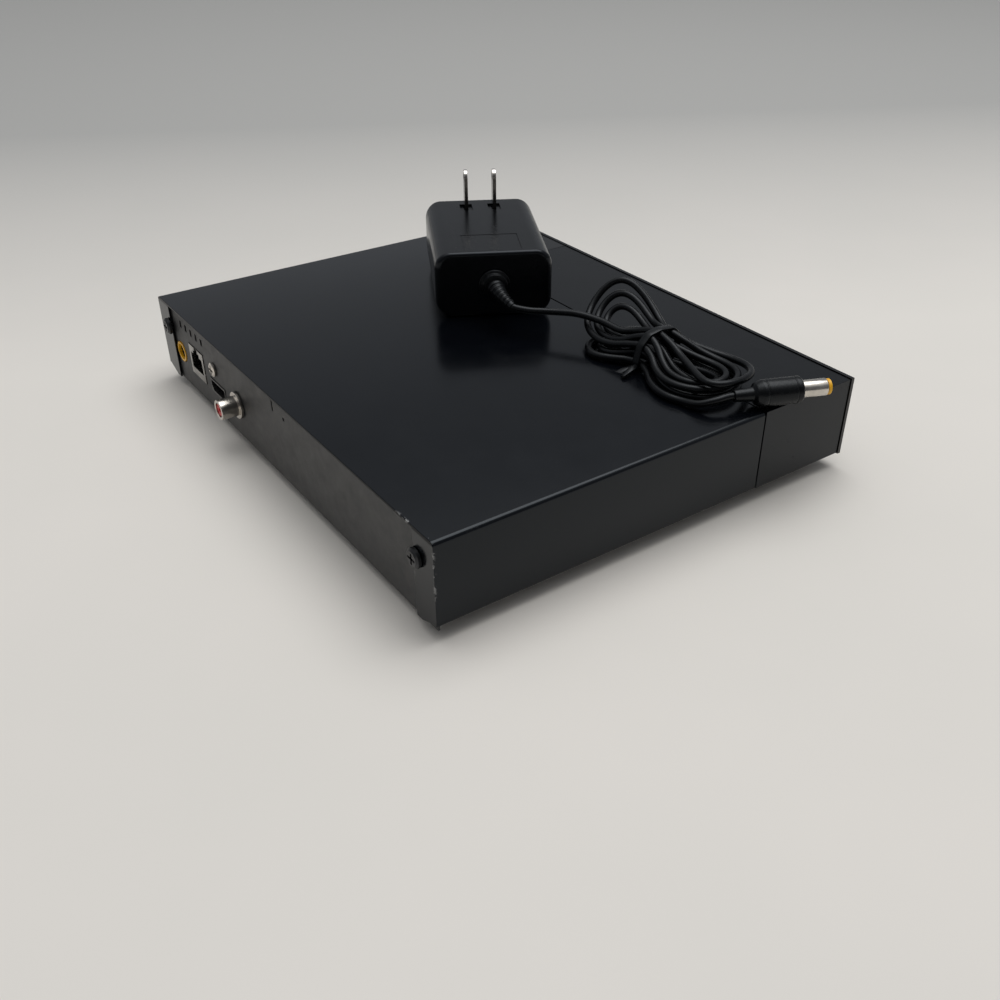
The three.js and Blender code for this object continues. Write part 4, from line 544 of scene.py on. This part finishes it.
def refine(name, piece, group):
    even = piece.modifiers.new("even", "NODES")
    even.node_group = group
    if name in FINE:
        return
    flat = piece.modifiers.new("flat", "DECIMATE")
    flat.decimate_type = "DISSOLVE"
    flat.angle_limit = math.radians(FLAT_ANGLE)
    edge = piece.modifiers.new("edge", "BEVEL")
    edge.width = EDGES.get(name, EDGE) * MM
    edge.segments = 2
    edge.limit_method = "ANGLE"
    edge.angle_limit = math.radians(ROUND_ANGLE)
    edge.harden_normals = True
    edge.use_clamp_overlap = True


# Floor, light and air, in metres
# The far colour and its reach are painted shade, darker away from the camera
FLOOR = dict(rings=(0.5, 1.5, 4.0), sides=48, rough=0.7, specular=0.25, patches=9,
             near=((0.725, 0.7, 0.655), (0.745, 0.715, 0.67)), far=(0.41, 0.408, 0.395),
             away=(0.913, -0.446, 0), reach=(0.07, 0.52))
SKY = dict(low=(0.245, 0.256, 0.272), middle=(0.3, 0.312, 0.33), high=(1.3, 1.3, 1.3), dark=(0.1, 0.1, 0.105),
           middle_from=(0.3, 0.6), high_from=(0.6, 0.95), away=(0.807, -0.591, 0), dark_from=(-0.75, -0.1))
LAMP = dict(place=(0.05, -0.4, 1.45), size=1.4, power=10.5)


def make_floor():
    """A pale disc that darkens towards the back of the picture, a painted shade where the light falls off."""
    bm = bmesh.new()
    turns = [2 * math.pi * k / FLOOR["sides"] for k in range(FLOOR["sides"])]
    rings = [[bm.verts.new((r * math.cos(t), r * math.sin(t), 0)) for t in turns] for r in FLOOR["rings"]]
    skin(bm, rings, ends=(0,))
    floor = mesh_piece("floor", bm)
    made = bpy.data.materials.new("floor_paper")
    made.use_nodes = True
    tree = made.node_tree
    shader = tree.nodes["Principled BSDF"]
    shader.inputs["Roughness"].default_value = FLOOR["rough"]
    shader.inputs["Specular IOR Level"].default_value = FLOOR["specular"]
    near = blended(tree, ranged(tree, noise(tree, FLOOR["patches"]), *PATCHES_RANGE), *FLOOR["near"])
    away = measured(tree, place_in(tree), "DOT_PRODUCT", FLOOR["away"])
    paper = blended(tree, ranged(tree, away, *FLOOR["reach"]), near, FLOOR["far"])
    link(tree, paper, shader.inputs["Base Color"])
    floor.data.materials.append(made)


def make_sky():
    """Bright overhead, dim round the horizon, and darker on the camera's side."""
    world = bpy.data.worlds.new("air")
    scene.world = world
    world.use_nodes = True
    tree = world.node_tree
    place = place_in(tree, "Generated")
    height = parts(tree, place)["Z"]
    away = measured(tree, place, "DOT_PRODUCT", SKY["away"])
    haze = blended(tree, ranged(tree, height, *SKY["middle_from"]), SKY["low"], SKY["middle"])
    sky = blended(tree, ranged(tree, height, *SKY["high_from"]), haze, SKY["high"])
    behind = ranged(tree, away, *SKY["dark_from"], 1, 0)
    link(tree, blended(tree, behind, sky, SKY["dark"]), tree.nodes["Background"].inputs["Color"])


def make_lamp():
    data = bpy.data.lights.new("overhead", "AREA")
    data.shape = "DISK"
    data.size = LAMP["size"]
    data.energy = LAMP["power"]
    lamp = linked("overhead", data)
    lamp.location = LAMP["place"]
    lamp.rotation_euler = (-Vector(LAMP["place"])).to_track_quat("-Z", "Y").to_euler()


# Shell of the power supply, in millimetres: ends that curl in, and a lid as one skin with the case
SHELL_END = dict(side=3.2, flat=1.5)
BLADE = dict(aside=6.35, from_end=11)
BLADES = [(way * BLADE["aside"], BLADE["from_end"] - SHELL["long"] / 2) for way in (-1, 1)]
WELL = dict(half=(2.8, 4.2), deep=0.9)
SLOT = dict(half=(1.05, 3.475), deep=5)
GROOVE = dict(wide=23.6, near=33, far=13.7)
FAR_GROOVE = dict(half=(12, 0.3), deep=0.5)
SIDE_GROOVE = dict(half=(0.15, (GROOVE["near"] - GROOVE["far"]) / 2), deep=0.3)
OVERRUN = 2


def shell_section():
    """The rounded section's points and their outward directions."""
    section = []
    steps = SHELL["corner_steps"]
    for corner, (side, level) in enumerate(((1, 1), (-1, 1), (-1, -1), (1, -1))):
        centre = Vector((side * (SHELL["wide"] / 2 - SHELL["corner"]), 0,
                         SHELL["high"] / 2 + level * (SHELL["high"] / 2 - SHELL["corner"])))
        for i in range(steps + 1):
            angle = math.pi / 2 * (corner + i / steps)
            outward = Vector((math.cos(angle), 0, math.sin(angle)))
            section.append((centre + outward * SHELL["corner"], outward))
    return section


def shell_block():
    """The supply's outer form: a rounded section drawn in towards both ends."""
    bm = bmesh.new()
    section, steps = shell_section(), SHELL["curl_steps"]
    rings = []
    for end, order in ((-1, range(steps, -1, -1)), (1, range(steps + 1))):
        for curl in (math.pi / 2 * k / steps for k in order):
            ring = []
            for spot, outward in section:
                radius = mix(SHELL_END["flat"], SHELL_END["side"], outward.x ** 2)
                along = Vector((0, end * (SHELL["long"] / 2 - radius * (1 - math.sin(curl))), 0))
                ring.append(bm.verts.new(spot - outward * radius * (1 - math.cos(curl)) + along))
            rings.append(ring)
    skin(bm, rings)
    return bm


def cut_level(bm, level, above):
    """Keeps what lies above or below the level and closes it there."""
    made = bmesh.ops.bisect_plane(bm, geom=bm.verts[:] + bm.edges[:] + bm.faces[:], plane_co=(0, 0, level),
                                  plane_no=(0, 0, -1 if above else 1), clear_outer=True)
    rim = [e for e in made["geom_cut"] if isinstance(e, bmesh.types.BMEdge)]
    bmesh.ops.edgeloop_fill(bm, edges=rim)


def pocket(x, y, half, deep):
    """The lowest and highest corners of a box sunk into the lid."""
    return (Vector((x - half[0], y - half[1], SHELL["high"] - deep)),
            Vector((x + half[0], y + half[1], SHELL["high"] + OVERRUN)))


def less_boxes(bm, *rounds):
    """The form less each round of boxes."""
    form = mesh_piece("uncut", bm)
    tools = []
    for boxes in rounds:
        tool = bmesh.new()
        for low, high in boxes:
            place = Matrix.Translation((low + high) / 2) @ Matrix.Diagonal((*(high - low), 1))
            bmesh.ops.create_cube(tool, matrix=place)
        tools.append(mesh_piece("cutter", tool))
        cut = form.modifiers.new("cut", "BOOLEAN")
        cut.operation = "DIFFERENCE"
        cut.solver = "EXACT"
        cut.object = tools[-1]
    made = bmesh.new()
    made.from_mesh(form.evaluated_get(bpy.context.evaluated_depsgraph_get()).data)
    for piece in (form, *tools):
        bpy.data.objects.remove(piece)
    return made


def shell_piece(name, bm):
    bm.transform(Matrix.Diagonal((MM, MM, MM, 1)) @ SHELL_PLACE)
    piece = mesh_piece(name, bm, ROUND_ANGLE)
    even = piece.modifiers.new("even", "WEIGHTED_NORMAL")
    even.keep_sharp = True
    return piece


def make_shell():
    case = shell_block()
    cut_level(case, SHELL["seam"] - SHELL["gap"], False)
    lid = shell_block()
    cut_level(lid, SHELL["seam"] + SHELL["gap"], True)
    wells = [pocket(*spot, **WELL) for spot in BLADES]
    slots = [pocket(*spot, **SLOT) for spot in BLADES]
    far = pocket(0, GROOVE["far"], **FAR_GROOVE)
    middle = (GROOVE["near"] + GROOVE["far"]) / 2
    sides = [pocket(way * GROOVE["wide"] / 2, middle, **SIDE_GROOVE) for way in (-1, 1)]
    lid = less_boxes(lid, [*wells, far], [*slots, *sides])
    return shell_piece("supply_case", case), shell_piece("supply_lid", lid)


# Relief, plug and tie, in millimetres, finer than their solids
RIDGES = dict(start=3.6, end=1.75, count=9.5, high=0.33, narrow=0.2, share=(0.08, 0.95))
RELIEF_FACES = dict(steps=168, sides=32, collar=64)
COLLAR = ((-1.8, 0), (-1.8, 4.6), (0.3, 4.6), (0.3, 6.6), (1.6, 6.6), (1.6, 5.3), (3.2, 5.3), (3.2, 0))
COLLAR_EASE = 0.5
GRIP = dict(long=18.5, neck=(2.2, 2.6), shoulder=(1, 4), full=3.4, chamfer=0.6, bore=3.5, seat=14.5,
            grooves=(4.9, 16), groove_half=(0.15, 0.3), groove_deep=0.14, ease=0.25)
SLEEVE = ((14.8, 0), (14.8, 3.2), (28.3, 3.25), (28.3, 2.75), (28.3, 1.7), (20.3, 1.7), (20.3, 0))
SLEEVE_EASE = 0.2
PLUG_SIDES = 56


def make_relief():
    bm = bmesh.new()
    steps = RELIEF_FACES["steps"]
    low, high = RIDGES["share"]
    radii = []
    for share in (i / steps for i in range(steps + 1)):
        ridge = math.exp(-(((share * RIDGES["count"]) % 1 - 0.5) / RIDGES["narrow"]) ** 2)
        radii.append(mix(RIDGES["start"], RIDGES["end"], smooth(share))
                     + (RIDGES["high"] * ridge if low < share < high else 0))
    tube(bm, relief_path(steps), radii, RELIEF_FACES["sides"])
    turned(bm, eased(COLLAR, COLLAR_EASE), EXIT, OUTWARD, RELIEF_FACES["collar"])
    return mesh_piece("cord_relief", bm, SHARP["relief"])


def plug_piece(name, profile, ease):
    bm = bmesh.new()
    turned(bm, eased(profile, ease), PLUG, PLUG_AHEAD, PLUG_SIDES)
    return mesh_piece(name, bm, SHARP["plug"])


def make_plug():
    """The moulded body, with a shallow groove near each end, and the barrel."""
    radius, end, chamfer = PLUG_RADIUS, GRIP["long"], GRIP["chamfer"]
    thin, thick = GRIP["neck"]
    deep = radius - GRIP["groove_deep"]
    floor, rim = GRIP["groove_half"]
    grooves = [(middle + along, high) for middle in GRIP["grooves"]
               for along, high in ((-rim, radius), (-floor, deep), (floor, deep), (rim, radius))]
    profile = [(-NECK["long"], 0), (-NECK["long"], thin), (0, thick), GRIP["shoulder"],
               (GRIP["full"], radius), *grooves, (end - chamfer, radius), (end, radius - chamfer),
               (end, GRIP["bore"]), (GRIP["seat"], GRIP["bore"]), (GRIP["seat"], 0)]
    return plug_piece("plug_grip", profile, GRIP["ease"]), plug_piece("plug_sleeve", SLEEVE, SLEEVE_EASE)


def hull(points):
    """The points' outline, the shortest line round them."""
    points = sorted(set(points))
    sides = []
    for line in (points, points[::-1]):
        side = []
        for p in line:
            while len(side) > 1 and ((side[-1][0] - side[-2][0]) * (p[1] - side[-2][1])
                                     - (side[-1][1] - side[-2][1]) * (p[0] - side[-2][0])) <= 0:
                side.pop()
            side.append(p)
        sides += side[:-1]
    return sides


def spaced(line, step):
    """The closed line's points at even distances."""
    line = line + line[:1]
    made, spare = [], 0
    for a, b in zip(line, line[1:]):
        long = math.dist(a, b)
        at = spare
        while at < long:
            made.append((mix(a[0], b[0], at / long), mix(a[1], b[1], at / long)))
            at += step
        spare = at - long
    return made


TIE = dict(reach=2.4, room=0.12, step=0.8, sides=24)
TIE_SECTION = ((-1.7, 0.05), (-1.45, 0), (1.45, 0), (1.7, 0.05), (1.7, 0.42), (1.45, 0.55), (-1.45, 0.55),
               (-1.7, 0.42))
TIE_END = dict(out=0.4, aside=1.1, drop=0.8, apart=0.5, long=8.4, spread=1.6, twist=0.9, half=1.15,
               thick=0.28, root=0.45, widening=3, steps=14)
TIE_ENDS = (dict(way=-1, fall=1.6, lean=0.5), dict(way=1, fall=3.4, lean=-0.35))
TIE_END_SECTION = ((-1, -0.6), (-0.85, -1), (0.85, -1), (1, -0.6), (1, 0.6), (0.85, 1), (-0.85, 1), (-1, 0.6))


def waist_outline(path):
    """The tight line round the strands at the waist, as (y, z)."""
    radius = CORD["radius"] + TIE["room"]
    turns = [2 * math.pi * k / TIE["sides"] for k in range(TIE["sides"])]
    held = [(round(p.y + radius * math.cos(t), 3), round(p.z + radius * math.sin(t), 3))
            for p in path if abs(p.x - HANK["x"]) < TIE["reach"] for t in turns]
    return spaced(hull(held), TIE["step"])


def tie_end(bm, root, way, fall, lean):
    side = root + Vector((way * TIE_END["aside"], 0, -TIE_END["drop"] - way * TIE_END["apart"]))
    rings = []
    for t in (i / TIE_END["steps"] for i in range(TIE_END["steps"] + 1)):
        centre = side + Vector((way * TIE_END["spread"] * t, TIE_END["long"] * t, -fall * t * t))
        angle = lean + way * TIE_END["twist"] * t
        wide = TIE_END["half"] * min(1, TIE_END["root"] + TIE_END["widening"] * t)
        flat = Vector((math.cos(angle), 0, math.sin(angle)))
        up = flat.cross(Vector((0, 1, 0)))
        rings.append([bm.verts.new((centre + flat * wide * a + up * TIE_END["thick"] * b) * MM)
                      for a, b in TIE_END_SECTION])
    skin(bm, rings)


def make_tie(path):
    """A flat band tight round the strands at the waist, its two ends twisted and laid on the near side."""
    bm = bmesh.new()
    outline = waist_outline(path)
    rings = []
    for before, spot, after in zip(outline[-1:] + outline, outline, outline[1:] + outline[:1]):
        out = Vector((0, after[1] - before[1], before[0] - after[0])).normalized()
        rings.append([bm.verts.new((Vector((HANK["x"] + x, *spot)) + out * high) * MM)
                      for x, high in TIE_SECTION])
    skin(bm, [rings[-1], *rings], ends=())
    near = max(outline)
    for end in TIE_ENDS:
        tie_end(bm, Vector((HANK["x"], near[0] + TIE_END["out"], near[1])), **end)
    return mesh_piece("tie_band", bm, SHARP["tie"])


def make_supply():
    """The finer pieces that ride with the power supply, in place of its solids."""
    path = cord_path()
    cord = dress(cord_piece("cord_line", path), "cord_black")
    relief = dress(make_relief(), "cord_black")
    grip, sleeve = make_plug()
    dress(grip, "cord_black")
    dress(sleeve, "nickel")
    tie = dress(make_tie(path), "cord_black")
    case, lid = (dress(piece, "black_plastic") for piece in make_shell())
    for piece, replaced in ((cord, ("supply_cord", "cord_hank", "cord_tail")), (relief, ("strain_relief",)),
                            (grip, ("plug_body",)), (sleeve, ("plug_barrel",)), (tie, ("cord_tie",)),
                            (case, ("adapter_case",)), (lid, ("adapter_lid",))):
        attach(piece, "power_supply")
        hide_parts(*replaced)


def dress_nodes():
    slots = {part["node"]: part["material_slot"] for part in frame["record"]["subparts"]}
    group = even_group()
    for name, piece in nodes.items():
        dress(piece, slots[name], OWN_LOOK.get(name))
        refine(name, piece, group)


def main():
    make_camera()
    make_supply()
    painted_rim_shade(LOOKS["black_paint"])
    paint_tip_highlight(LOOKS["blade_shaded_nickel"])
    dress_nodes()
    make_floor()
    make_sky()
    make_lamp()


main()
